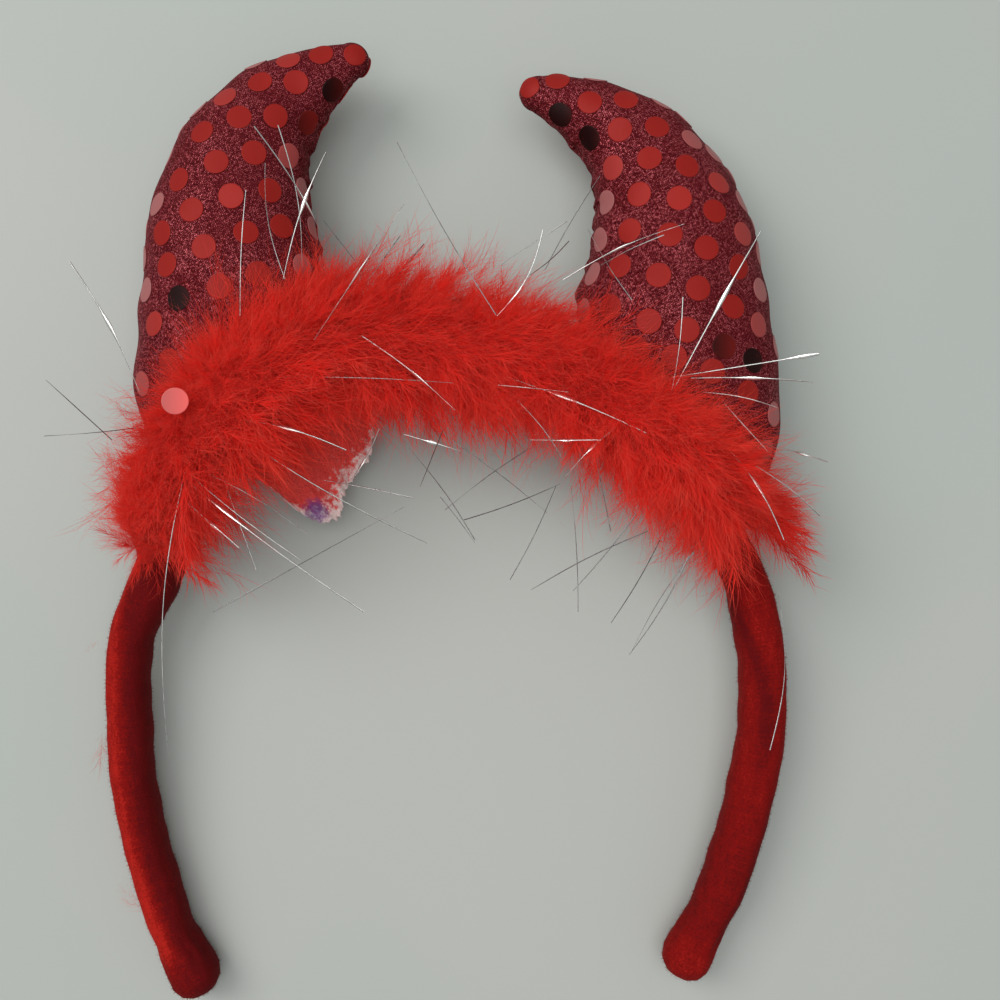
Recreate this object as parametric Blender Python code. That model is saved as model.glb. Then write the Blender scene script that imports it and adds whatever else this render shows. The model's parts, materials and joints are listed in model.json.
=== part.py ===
"""A devil horns headband, lying on its side on a flat surface.

The arch of the band lies nearly level, open towards -Y. The two stuffed horns
point to +Y and rest on their undersides, and so do the two ball ends of the band.
A strip of down runs in front of the band and of the roots of both horns.
All sizes are in metres, +Z is up.
"""

import math
import random
from typing import NamedTuple

import bmesh
import bpy
from mathutils import Vector
from mathutils.bvhtree import BVHTree

MM = 0.001
GAP = 0.35 * MM  # clear space between pieces that touch on the real thing
DOWN_GAP = 0.6 * MM  # the same under the down

# Band, measured to the middle of its section
ARCH_RADIUS = 66.8 * MM
ARM_TUCK_DROP = 60.0 * MM  # where an arm's tuck is measured, below the arch's centre
CROWN_LIFT = 16.0 * MM  # middle of the band over the floor, at the top of the arch
BALL_LIFT = 6.0 * MM  # the same, at the ball ends
BAND_THICK = 8.2 * MM  # across the arch
BAND_WIDE = 12.0 * MM  # front to back, which stands up as the band lies
BAND_SQUARENESS = 2.5  # exponent of the section, 2 would be an ellipse
BAND_SIDES = 14
BAND_STEP = 4.6 * MM
ARM_POINTS = 60  # points worked out along an arm before they are spaced evenly
BALL_MIDDLE = 3  # the row of BALL_END at the middle of the ball
LEFT = -1.0  # the hand of an arm, along +X
RIGHT = 1.0

# Horns
HORN_SQUARENESS = 2.15
HORN_SIDES = 26
HORN_RINGS = 24
TIP_TURNS = (30.0, 58.0, 80.0)  # degrees round a horn's rounded tip

# Down trim
TRIM_CORE = 0.56  # radius of the closed tube under the locks, as a share of the pile's radius
TRIM_SIDES = 15
FINER = 3  # rays to each step and side of the trim, to feel for its neighbours
TRIM_STEP = 4.3 * MM
TRIM_LENGTH_SPREAD = 0.34  # how much the locks differ in length
TRIM_LEAN = 2.4 * MM
TRIM_SEED = 7
THREAD_POINTS = 12  # points worked out from one row of the thread to the next
TRIM_LEAST = 0.5 * MM  # least wall round the thread where it presses on a neighbour
LOCK_ROOM = 1.6 * MM  # free space that a lock needs round it
LOCK_SHARES = (0.3, 0.6, 0.8, 1.0)  # places along a lock where its room is felt

# Loose hem below the left horn
HEM_THICK = 1.2 * MM
HEM_ROOT_DROP = 1.0 * MM  # root of the hem below the middle of the band
HEM_SAG = 5.5 * MM
HEM_WAVE = 0.9 * MM
HEM_WAVES = 2.5
HEM_LINES = 26
HEM_ROWS = 9


class Arm(NamedTuple):
    """An arm of the band, in millimetres.

    drop: from the arch's centre down to the middle of the ball end.
    tuck: how far the arm has closed in at ARM_TUCK_DROP.
    power: how late it closes in, 1 would be a straight line.
    """

    drop: float
    tuck: float
    power: float


class EndSection(NamedTuple):
    """A section of a ball end: its distance from the tip, thickness and width."""

    back: float
    thick: float
    wide: float


class HornSection(NamedTuple):
    """A section of a horn: its middle, the lean of the axis from +Y, and half its size."""

    side: float
    along: float
    lift: float
    lean: float
    half_wide: float
    half_thick: float


class TrimPoint(NamedTuple):
    """A point on the thread of the trim, and the reach of the down around it."""

    side: float
    along: float
    lift: float
    reach: float


class HemPoint(NamedTuple):
    """A line of the hem: its turn about the arch's centre, and how far it hangs in."""

    turn: float
    reach: float


ARM_LEFT = Arm(61.8, 12.4, 2.3)
ARM_RIGHT = Arm(57.9, 16.8, 2.0)

# Millimetres, from the tip of an arm inwards
BALL_END = (
    EndSection(0.0, 2.6, 3.0),
    EndSection(0.7, 5.8, 6.6),
    EndSection(2.0, 8.8, 9.9),
    EndSection(4.2, 10.4, 12.2),
    EndSection(7.0, 10.3, 12.4),
    EndSection(10.0, 9.2, 11.6),
    EndSection(14.0, 8.3, 11.6),
    EndSection(20.0, 8.2, 12.0),
)

# Millimetres and degrees, from the root on the band to the middle of the rounded tip
HORN_LEFT = (
    HornSection(-38.6, 9.6, 15.0, -36.0, 17.6, 11.6),
    HornSection(-42.6, 17.4, 15.2, -31.0, 18.6, 13.4),
    HornSection(-44.6, 26.0, 15.2, -14.0, 19.3, 15.2),
    HornSection(-43.9, 35.2, 15.0, -2.0, 19.6, 16.0),
    HornSection(-43.5, 46.1, 15.0, 0.0, 18.8, 16.0),
    HornSection(-43.6, 57.6, 14.6, 4.0, 16.9, 15.1),
    HornSection(-42.3, 67.3, 14.4, 15.0, 14.9, 13.6),
    HornSection(-39.2, 74.9, 14.4, 31.0, 12.8, 11.8),
    HornSection(-34.6, 80.9, 14.7, 46.0, 10.2, 9.5),
    HornSection(-28.9, 85.4, 15.3, 56.0, 7.6, 7.1),
    HornSection(-23.4, 88.6, 16.0, 62.0, 5.4, 5.0),
    HornSection(-19.1, 90.7, 16.4, 64.0, 3.6, 3.5),
)
HORN_RIGHT = (
    HornSection(44.8, 6.9, 14.8, 43.0, 18.0, 11.6),
    HornSection(49.2, 13.0, 15.0, 38.0, 19.2, 13.4),
    HornSection(50.6, 21.0, 15.0, 20.0, 20.0, 15.2),
    HornSection(48.7, 30.2, 15.0, 5.0, 20.2, 16.0),
    HornSection(47.0, 42.0, 15.0, 0.0, 19.6, 16.0),
    HornSection(46.9, 53.0, 14.6, -5.0, 17.1, 15.1),
    HornSection(45.2, 61.9, 14.4, -17.0, 14.9, 13.5),
    HornSection(42.1, 68.8, 14.4, -31.0, 12.7, 11.7),
    HornSection(37.6, 74.5, 14.7, -47.0, 10.3, 9.6),
    HornSection(31.4, 79.0, 15.3, -60.0, 7.8, 7.2),
    HornSection(25.0, 81.9, 16.0, -68.0, 5.7, 5.2),
    HornSection(19.2, 83.8, 16.4, -73.0, 3.6, 3.5),
)

# Millimetres, from the left arm over both horn roots to the right arm
TRIM_THREAD = (
    TrimPoint(-60.5, -13.0, 23.0, 9.5),
    TrimPoint(-58.6, -4.0, 25.0, 14.5),
    TrimPoint(-53.4, 11.0, 30.0, 15.5),
    TrimPoint(-41.0, 24.0, 32.0, 15.5),
    TrimPoint(-23.0, 34.0, 27.0, 15.5),
    TrimPoint(-3.0, 34.5, 25.0, 14.5),
    TrimPoint(15.5, 29.5, 26.0, 14.5),
    TrimPoint(32.5, 20.5, 30.0, 15.5),
    TrimPoint(48.0, 11.5, 31.5, 15.5),
    TrimPoint(60.0, -1.0, 27.5, 15.5),
    TrimPoint(64.0, -11.5, 23.5, 10.5),
)

# Degrees and millimetres
HEM_EDGE = (
    HemPoint(-41.5, 3.0),
    HemPoint(-39.5, 14.0),
    HemPoint(-36.5, 18.5),
    HemPoint(-31.5, 19.2),
    HemPoint(-27.0, 15.5),
    HemPoint(-21.5, 12.5),
    HemPoint(-17.5, 10.0),
    HemPoint(-14.5, 3.0),
)

ARCH_CENTRE = Vector((0.0, -40.0 * MM, 0.0))
CROWN_ALONG = ARCH_CENTRE.y + ARCH_RADIUS
BALL_ALONG = ARCH_CENTRE.y - ARM_TUCK_DROP
UP = Vector((0.0, 0.0, 1.0))


def clear_scene():
    """Removes whatever the scene holds."""
    for found in list(bpy.data.objects):
        bpy.data.objects.remove(found, do_unlink=True)


def new_collection(name):
    """A new collection in the scene."""
    made = bpy.data.collections.new(name)
    bpy.context.scene.collection.children.link(made)
    return made


def new_material(name, colour, roughness, metallic=0.0):
    """A Principled material of one colour."""
    made = bpy.data.materials.new(name)
    made.use_nodes = True
    made.diffuse_color = (*colour, 1.0)
    shader = made.node_tree.nodes["Principled BSDF"]
    shader.inputs["Base Color"].default_value = (*colour, 1.0)
    shader.inputs["Roughness"].default_value = roughness
    shader.inputs["Metallic"].default_value = metallic
    return made


def new_object(name, mesh, collection, material=None):
    """An object for a mesh, smooth to look at and sharp at its real edges."""
    made = bpy.data.objects.new(name, mesh)
    collection.objects.link(made)
    mesh.shade_smooth()
    mesh.set_sharp_from_angle(angle=math.radians(50.0))
    if material:
        mesh.materials.append(material)
    return made


def read_table(rows, place):
    """The row at a place along a table, each column read from a smooth curve through the rows."""
    last = len(rows) - 1
    step = max(0, min(int(place), last - 1))
    t = place - step
    near = [rows[max(0, min(last, step + k))] for k in (-1, 0, 1, 2)]
    columns = []
    for a, b, c, d in zip(*near):
        linear = (c - a) * t
        square = (2.0 * a - 5.0 * b + 4.0 * c - d) * t * t
        cube = (3.0 * b - a - 3.0 * c + d) * t**3
        columns.append(0.5 * (2.0 * b + linear + square + cube))
    return type(rows[0])(*columns)


def even_walk(points, step):
    """Points about a step apart along a polyline, both ends kept."""
    lengths = [0.0]
    for start, end in zip(points, points[1:]):
        lengths.append(lengths[-1] + (end - start).length)
    count = max(2, round(lengths[-1] / step))
    walk = []
    piece = 0
    for k in range(count + 1):
        wanted = lengths[-1] * k / count
        while piece < len(points) - 2 and lengths[piece + 1] < wanted:
            piece += 1
        run = lengths[piece + 1] - lengths[piece]
        walk.append(points[piece].lerp(points[piece + 1], (wanted - lengths[piece]) / run))
    return walk


def section_ring(middle, across, upright, half_across, half_up, squareness, sides):
    """Points round a rounded section, which never dips under the floor."""
    ring = []
    power = 2.0 / squareness
    for k in range(sides):
        turn = 2.0 * math.pi * k / sides
        out = math.copysign(abs(math.cos(turn)) ** power, math.cos(turn)) * half_across
        rise = math.copysign(abs(math.sin(turn)) ** power, math.sin(turn)) * half_up
        point = middle + across * out + upright * rise
        point.z = max(point.z, 0.0)
        ring.append(point)
    return ring


def loft(name, rings):
    """A closed skin over rings of points, with a fan over each end."""
    work = bmesh.new()
    loops = [[work.verts.new(point) for point in ring] for ring in rings]
    for near, far in zip(loops, loops[1:]):
        for k, corner in enumerate(near):
            n = (k + 1) % len(near)
            work.faces.new((corner, near[n], far[n], far[k]))
    for loop in (loops[0], loops[-1]):
        middle = sum((corner.co for corner in loop), Vector()) / len(loop)
        top = work.verts.new(middle)
        for k, corner in enumerate(loop):
            work.faces.new((corner, loop[(k + 1) % len(loop)], top))
    bmesh.ops.recalc_face_normals(work, faces=work.faces)
    mesh = bpy.data.meshes.new(name)
    work.to_mesh(mesh)
    work.free()
    return mesh


def band_lift(along):
    """Height of the band's middle over the floor, at a place along the arch."""
    share = (along - BALL_ALONG) / (CROWN_ALONG - BALL_ALONG)
    return BALL_LIFT + (CROWN_LIFT - BALL_LIFT) * share


def arm_points(arm, hand):
    """The middle of one arm from the arch's widest point down to its ball, left or right."""
    points = []
    for k in range(1, ARM_POINTS + 1):
        down = arm.drop * MM * k / ARM_POINTS
        tuck = arm.tuck * MM * (down / ARM_TUCK_DROP) ** arm.power
        along = ARCH_CENTRE.y - down
        points.append(Vector((hand * (ARCH_RADIUS - tuck), along, band_lift(along))))
    return points


def band_path():
    """The middle of the band, from the left ball over the crown to the right ball."""
    arch = []
    for k in range(-90, 91):
        turn = math.radians(k)
        along = ARCH_CENTRE.y + ARCH_RADIUS * math.cos(turn)
        arch.append(Vector((ARCH_RADIUS * math.sin(turn), along, band_lift(along))))
    left = arm_points(ARM_LEFT, LEFT)
    right = arm_points(ARM_RIGHT, RIGHT)
    return even_walk(left[::-1] + arch + right, BAND_STEP)


def heading(path, k):
    """Direction of a path at its point k."""
    return (path[min(k + 1, len(path) - 1)] - path[max(k - 1, 0)]).normalized()


def band_ring(middle, along, thick, wide, grow):
    """One section of the band, standing square to its direction."""
    across = along.cross(UP).normalized()
    upright = across.cross(along).normalized()
    half_thick = thick / 2.0 + grow
    half_wide = wide / 2.0 + grow
    return section_ring(middle, across, upright, half_thick, half_wide, BAND_SQUARENESS, BAND_SIDES)


def arm_size(distance):
    """Thickness and width of the band at a distance from the nearer tip."""
    for near, far in zip(BALL_END, BALL_END[1:]):
        if distance <= far.back * MM:
            share = (distance / MM - near.back) / (far.back - near.back)
            return (
                (near.thick + (far.thick - near.thick) * share) * MM,
                (near.wide + (far.wide - near.wide) * share) * MM,
            )
    return BAND_THICK, BAND_WIDE


def band_mesh(grow=0.0):
    """The padded band with its ball ends, or the same grown all round to cut a seat with."""
    path = band_path()
    last = len(path) - 1
    ball = BALL_END[BALL_MIDDLE].back * MM
    lengths = [0.0]
    for start, end in zip(path, path[1:]):
        lengths.append(lengths[-1] + (end - start).length)
    sections = []
    for k, middle in enumerate(path):
        thick, wide = arm_size(ball + min(lengths[k], lengths[-1] - lengths[k]))
        sections.append((middle, heading(path, k), thick, wide))
    for row in reversed(BALL_END[:BALL_MIDDLE]):
        ahead = ball - row.back * MM
        near = heading(path, 0)
        far = heading(path, last)
        sections.insert(0, (path[0] - near * ahead, near, row.thick * MM, row.wide * MM))
        sections.append((path[last] + far * ahead, far, row.thick * MM, row.wide * MM))
    return loft("band", [band_ring(*section, grow) for section in sections])


def horn_rows(table):
    """Evenly many sections of a horn, with a rounded tip after the last row of its table."""
    rows = []
    for k in range(HORN_RINGS + 1):
        rows.append(read_table(table, (len(table) - 1) * k / HORN_RINGS))
    last = table[-1]
    lean = math.radians(last.lean)
    for turn in TIP_TURNS:
        ahead = last.half_wide * math.sin(math.radians(turn))
        shrink = math.cos(math.radians(turn))
        rows.append(
            last._replace(
                side=last.side + ahead * math.sin(lean),
                along=last.along + ahead * math.cos(lean),
                half_wide=last.half_wide * shrink,
                half_thick=last.half_thick * shrink,
            )
        )
    return rows


def horn_mesh(table):
    """A stuffed horn lying on its side."""
    rings = []
    for row in horn_rows(table):
        lean = math.radians(row.lean)
        across = Vector((math.cos(lean), -math.sin(lean), 0.0))
        middle = Vector((row.side, row.along, row.lift)) * MM
        half_wide = row.half_wide * MM
        half_thick = row.half_thick * MM
        rings.append(section_ring(middle, across, UP, half_wide, half_thick, HORN_SQUARENESS, HORN_SIDES))
    return loft("horn", rings)


def free_reach(start, direction, wanted, neighbours):
    """How far the down may reach from a point of its thread before it meets a neighbour."""
    reach = wanted
    for tree in neighbours:
        distance = tree.ray_cast(start, direction, wanted + DOWN_GAP)[3]
        if distance is not None:
            reach = min(reach, distance - DOWN_GAP)
    return max(reach, TRIM_LEAST)


def is_clear(point, neighbours):
    """True where a point of a lock keeps its room from every neighbour."""
    return all(tree.find_nearest(point, LOCK_ROOM)[0] is None for tree in neighbours)


def least_nearby(grid, ring, side):
    """The least value of a fine grid from one coarse neighbour of a place to the next."""
    rings = range(max(ring - FINER, 0), min(ring + FINER + 1, len(grid)))
    sides = [(side + k) % len(grid[0]) for k in range(-FINER, FINER + 1)]
    return min(grid[r][s] for r in rings for s in sides)


def thread_rays(thread, k, sides):
    """Directions square to the thread at its point k, evenly round it."""
    along = heading(thread, k)
    across = along.cross(UP).normalized()
    upright = across.cross(along).normalized()
    turns = [2.0 * math.pi * n / sides for n in range(sides)]
    return [across * math.cos(turn) + upright * math.sin(turn) for turn in turns]


def trim_mesh(neighbours):
    """The down trim: a closed tube along its thread, its free faces drawn out to locks."""
    draws = random.Random(TRIM_SEED)
    rows = len(TRIM_THREAD) - 1
    places = range(THREAD_POINTS * rows + 1)
    curve = [read_table(TRIM_THREAD, k / THREAD_POINTS) for k in places]
    thread = even_walk([Vector(row[:3]) * MM for row in curve], TRIM_STEP / FINER)
    last = len(thread) - 1
    pile = [read_table(TRIM_THREAD, rows * k / last).reach * MM for k in range(last + 1)]
    grid = []
    for k, start in enumerate(thread):
        core = pile[k] * TRIM_CORE
        rays = thread_rays(thread, k, TRIM_SIDES * FINER)
        grid.append([free_reach(start, ray, core, neighbours) for ray in rays])
    rings = []
    for k in range(0, last + 1, FINER):
        rays = thread_rays(thread, k, TRIM_SIDES)
        reaches = [least_nearby(grid, k, n * FINER) for n in range(TRIM_SIDES)]
        rings.append([thread[k] + ray * reach for ray, reach in zip(rays, reaches)])
    mesh = loft("trim", rings)
    work = bmesh.new()
    work.from_mesh(mesh)
    for face in [face for face in work.faces if len(face.verts) == 4]:
        middle = face.calc_center_median()
        k = min(range(last + 1), key=lambda n: (thread[n] - middle).length)
        spread = 1.0 + draws.uniform(-1.0, 1.0) * TRIM_LENGTH_SPREAD
        sway = Vector([draws.uniform(-1.0, 1.0) for _ in range(3)]) * TRIM_LEAN
        tip = middle + (middle - thread[k]).normalized() * pile[k] * (1.0 - TRIM_CORE) * spread + sway
        lock = tip - middle
        room = free_reach(middle, lock.normalized(), lock.length + LOCK_ROOM, neighbours)
        clear = all(is_clear(middle + lock * share, neighbours) for share in LOCK_SHARES)
        if room < lock.length + LOCK_ROOM or not clear:
            continue
        poked = bmesh.ops.poke(work, faces=[face])
        poked["verts"][0].co = tip
    bmesh.ops.triangulate(work, faces=work.faces)
    work.to_mesh(mesh)
    work.free()
    return mesh


def hem_mesh():
    """The loose hem: a thin sheet from the band's inner side into the head space."""
    top_rows = []
    low_rows = []
    root = ARCH_RADIUS - BAND_THICK / 2.0 - GAP
    for k in range(HEM_LINES + 1):
        row = read_table(HEM_EDGE, (len(HEM_EDGE) - 1) * k / HEM_LINES)
        turn = math.radians(row.turn)
        out = Vector((math.sin(turn), math.cos(turn), 0.0))
        start = ARCH_CENTRE + out * root
        top = []
        low = []
        for n in range(HEM_ROWS + 1):
            share = n / HEM_ROWS
            point = start - out * row.reach * MM * share
            wave = HEM_WAVE * share * math.sin(HEM_WAVES * 2.0 * math.pi * k / HEM_LINES)
            point.z = band_lift(start.y) - HEM_ROOT_DROP - HEM_SAG * share**1.5 + wave
            top.append(point + UP * HEM_THICK / 2.0)
            low.append(point - UP * HEM_THICK / 2.0)
        top_rows.append(top)
        low_rows.append(low)
    rings = [top + low[::-1] for top, low in zip(top_rows, low_rows)]
    return loft("hem", rings)


def cut(body, cutter):
    """Cuts one object from another for good."""
    modifier = body.modifiers.new("cut", "BOOLEAN")
    modifier.operation = "DIFFERENCE"
    modifier.solver = "EXACT"
    modifier.object = cutter
    shape = bpy.data.meshes.new_from_object(body.evaluated_get(bpy.context.evaluated_depsgraph_get()))
    body.modifiers.clear()
    body.data = shape


def keep_largest(body):
    """Removes all but the largest of the loose bodies that a cut has left."""
    work = bmesh.new()
    work.from_mesh(body.data)
    bmesh.ops.remove_doubles(work, verts=work.verts, dist=0.02 * MM)
    seen = set()
    groups = []
    for start in work.verts:
        if start in seen:
            continue
        seen.add(start)
        group = [start]
        for corner in group:
            for edge in corner.link_edges:
                other = edge.other_vert(corner)
                if other not in seen:
                    seen.add(other)
                    group.append(other)
        groups.append(group)
    groups.sort(key=len)
    for group in groups[:-1]:
        bmesh.ops.delete(work, geom=group, context="VERTS")
    bmesh.ops.dissolve_degenerate(work, edges=work.edges, dist=0.01 * MM)
    bmesh.ops.triangulate(work, faces=work.faces)
    work.to_mesh(body.data)
    work.free()


def surface_tree(piece):
    """The surface of a piece, to cast rays at."""
    points = [vertex.co.copy() for vertex in piece.data.vertices]
    faces = [tuple(face.vertices) for face in piece.data.polygons]
    return BVHTree.FromPolygons(points, faces)


def new_cutter(name, mesh, collection):
    """A cutter, drawn as wire and left out of the render."""
    made = new_object(name, mesh, collection)
    made.hide_render = True
    made.display_type = "WIRE"
    return made


def arch_plug(collection):
    """A cutter that takes away whatever lies inside the middle of the arch."""
    work = bmesh.new()
    bmesh.ops.create_cone(
        work,
        cap_ends=True,
        segments=160,
        radius1=ARCH_RADIUS,
        radius2=ARCH_RADIUS,
        depth=120.0 * MM,
    )
    mesh = bpy.data.meshes.new("arch_plug")
    work.to_mesh(mesh)
    work.free()
    made = new_cutter("arch_plug", mesh, collection)
    made.location = ARCH_CENTRE
    return made


def centre_over_floor(pieces):
    """Moves the pieces so that their common box is centred on the origin and stands at z = 0."""
    bpy.context.view_layer.update()
    corners = []
    for piece in pieces:
        corners += [piece.matrix_world @ vertex.co for vertex in piece.data.vertices]
    low = [min(corner[axis] for corner in corners) for axis in range(3)]
    high = [max(corner[axis] for corner in corners) for axis in range(3)]
    shift = Vector((-(low[0] + high[0]) / 2.0, -(low[1] + high[1]) / 2.0, -low[2]))
    for piece in pieces:
        piece.location += shift


def main():
    """Builds the headband."""
    clear_scene()
    parts = new_collection("devil_horns_headband")
    cutters = new_collection("cutters")
    velvet = new_material("red_velvet", (0.36, 0.008, 0.01), 0.85)
    knit = new_material("wine_glitter_knit", (0.11, 0.008, 0.02), 0.55)
    down = new_material("red_down", (0.58, 0.02, 0.015), 0.9)
    hem = new_material("hem_knit", (0.45, 0.1, 0.12), 0.8)

    band = new_object("velvet_band", band_mesh(), parts, velvet)
    left = new_object("horn_left", horn_mesh(HORN_LEFT), parts, knit)
    right = new_object("horn_right", horn_mesh(HORN_RIGHT), parts, knit)
    flap = new_object("hem_flap", hem_mesh(), parts, hem)

    band_seat = new_cutter("band_seat", band_mesh(GAP), cutters)
    plug = arch_plug(cutters)
    for horn in (left, right):
        cut(horn, plug)
        cut(horn, band_seat)
        keep_largest(horn)
    trees = [surface_tree(piece) for piece in (band, left, right, flap)]
    trim = new_object("feather_trim", trim_mesh(trees), parts, down)

    centre_over_floor([band, left, right, trim, flap])


main()
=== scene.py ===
"""The looks of a devil horns headband that lies on its side.

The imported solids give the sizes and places. Every piece here is a fine mesh with its
own finish: the velvet band, two stuffed horns of glitter knit with flat sequins, the
down trim over their roots, its tinsel, and a loose hem. All sizes are in metres.
"""

import json
import logging
import math
import random
from dataclasses import dataclass
from enum import Enum
from typing import Any, Iterator, NamedTuple, Sequence

import bpy
import numpy as np
from bpy.types import Collection, Material, Mesh, Node, NodeSocket, NodeTree, Object
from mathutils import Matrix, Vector
from mathutils.bvhtree import BVHTree
from mathutils.kdtree import KDTree

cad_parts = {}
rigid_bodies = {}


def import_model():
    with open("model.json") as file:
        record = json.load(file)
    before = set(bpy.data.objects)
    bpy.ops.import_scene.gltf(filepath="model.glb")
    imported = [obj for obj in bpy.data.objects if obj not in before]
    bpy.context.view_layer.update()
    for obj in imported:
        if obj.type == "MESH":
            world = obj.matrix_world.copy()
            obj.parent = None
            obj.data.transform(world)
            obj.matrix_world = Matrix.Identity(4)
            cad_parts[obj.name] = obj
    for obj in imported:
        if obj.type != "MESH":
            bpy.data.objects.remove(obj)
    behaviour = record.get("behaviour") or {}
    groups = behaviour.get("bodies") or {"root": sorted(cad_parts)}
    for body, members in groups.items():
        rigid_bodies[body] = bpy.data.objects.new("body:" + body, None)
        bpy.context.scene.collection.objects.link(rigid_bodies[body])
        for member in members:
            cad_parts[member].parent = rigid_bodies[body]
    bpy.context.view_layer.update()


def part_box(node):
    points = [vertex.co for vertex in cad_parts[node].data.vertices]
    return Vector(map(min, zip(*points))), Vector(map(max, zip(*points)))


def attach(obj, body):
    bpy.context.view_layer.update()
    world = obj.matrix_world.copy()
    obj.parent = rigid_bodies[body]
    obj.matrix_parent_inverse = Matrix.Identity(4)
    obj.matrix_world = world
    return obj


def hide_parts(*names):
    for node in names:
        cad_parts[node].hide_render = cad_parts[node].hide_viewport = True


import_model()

LOG = logging.getLogger("headband")
MM = 0.001
TURN = 2.0 * math.pi
UP = np.array((0.0, 0.0, 1.0))
BODY = "root"
FLOOR_GAP = 0.05 * MM


class Slot(Enum):
    """Material slots of the record."""

    VELVET = "velvet"
    KNIT = "glitter_knit"
    DOWN = "down"
    HEM = "hem_knit"
    SEQUIN = "sequin_film"
    TINSEL = "tinsel"


class Side(Enum):
    """The two horns, as seen from above."""

    LEFT = "left"
    RIGHT = "right"


# Places and sizes that the solids share

ARCH_RADIUS = 66.8 * MM
ARCH_ALONG = -40.0 * MM
BAND_THICK = 8.2 * MM


def drawing_shift() -> np.ndarray:
    """Where the origin of the tables below lies in the frame.

    Returns:
        The shift in metres, worked out from the box of the band.
    """
    low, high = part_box("velvet_band")
    crown = ARCH_ALONG + ARCH_RADIUS + BAND_THICK / 2.0
    return np.array(((low[0] + high[0]) / 2.0, high[1] - crown, 0.0))


SHIFT = drawing_shift()
ARCH_CENTRE = SHIFT + np.array((0.0, ARCH_ALONG, 0.0))


@dataclass(frozen=True)
class Photo:
    """How the photograph looks down at the table.

    Attributes:
        focal_px: focal length in pixels of the 1000 pixel frame.
        middle_px: the frame's middle.
        eye: the lens in the frame of the tables.
    """

    focal_px: float = 1372.5
    middle_px: float = 500.0
    eye: tuple[float, float, float] = (11.5 * MM, 0.0, 300.0 * MM)

    def place(self, px: float, py: float, height: float) -> np.ndarray:
        """The point of the frame that a pixel shows at a height.

        Args:
            px: pixels from the left.
            py: pixels from the top.
            height: metres over the floor.

        Returns:
            The point in metres.
        """
        scale = (self.eye[2] - height) / self.focal_px
        x = self.eye[0] + (px - self.middle_px) * scale
        y = self.eye[1] + (self.middle_px - py) * scale
        return SHIFT + np.array((x, y, height))

    def pixels(self, points: np.ndarray) -> np.ndarray:
        """The pixel that shows each of some points."""
        away = points - SHIFT - self.eye
        scale = -self.focal_px / away[:, 2:]
        return self.middle_px + away[:, :2] * scale * (1.0, -1.0)


PHOTO = Photo()


class Arm(NamedTuple):
    """An arm of the band in millimetres.

    Attributes:
        drop: from the arch's centre down to the middle of the ball end.
        tuck: how far it has closed in where the tuck is measured.
        power: how late it closes in, 1 would be a straight line.
        fuller: what its padding adds to the thickness of the strip.
    """

    drop: float
    tuck: float
    power: float
    fuller: float


class Swell(NamedTuple):
    """A wave of the band's padding: its pitch and its size in millimetres."""

    pitch: float
    size: float


class Wave(NamedTuple):
    """A wave of a horn's stuffing: its pitch in millimetres, and how often it goes round."""

    pitch: float
    turns: int


class HornSection(NamedTuple):
    """A section of a horn in millimetres and degrees, as the solids have it."""

    side: float
    along: float
    lift: float
    lean: float
    half_wide: float
    half_thick: float


class ThreadPoint(NamedTuple):
    """A point on the thread of the trim in millimetres."""

    side: float
    along: float
    lift: float


class EndSection(NamedTuple):
    """A section of a ball end in millimetres, from the tip of an arm inwards."""

    back: float
    thick: float
    wide: float


class HemPoint(NamedTuple):
    """A line of the hem: degrees about the arch's centre, and millimetres of reach."""

    turn: float
    reach: float


class Strand(NamedTuple):
    """A tinsel strand.

    Attributes:
        root_x, root_y, tip_x, tip_y: pixels of its root and its tip.
        bow: in pixels, to the left of the way from root to tip.
        wide: width of the film, as a share of the width that Tinsel names.
        tone: from 0 for dark to 1 for bright, a painted reflection.
        painted_flash: share of its length where it catches the light, painted as a highlight, below 0 for
            none.
    """

    root_x: float
    root_y: float
    tip_x: float
    tip_y: float
    bow: float
    wide: float
    tone: float
    painted_flash: float = -1.0


class LayPoint(NamedTuple):
    """How the down lies at a row of the thread.

    Attributes:
        outward: reach away from the arch's centre, in millimetres.
        inward: reach towards it.
        sweep: how far the down leans along the thread.
    """

    outward: float
    inward: float
    sweep: float


class Stray(NamedTuple):
    """A loose bit of down on the band: pixels of its root and its tip."""

    root_x: float
    root_y: float
    tip_x: float
    tip_y: float


def rows_of(kind: type, *rows: tuple) -> tuple:
    """A table whose rows are all of one kind."""
    return tuple(kind(*row) for row in rows)


ARMS = {
    Side.LEFT: Arm(61.8, 12.4, 2.3, 0.6),
    Side.RIGHT: Arm(57.9, 16.8, 2.0, 1.6),
}

BAND_SWELLS = (Swell(34.0, 0.22), Swell(17.0, 0.14), Swell(8.0, 0.07))

HORN_WAVES = (Wave(46.0, 1), Wave(30.0, 2), Wave(21.0, 3), Wave(15.0, 2), Wave(11.0, 4))

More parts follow.
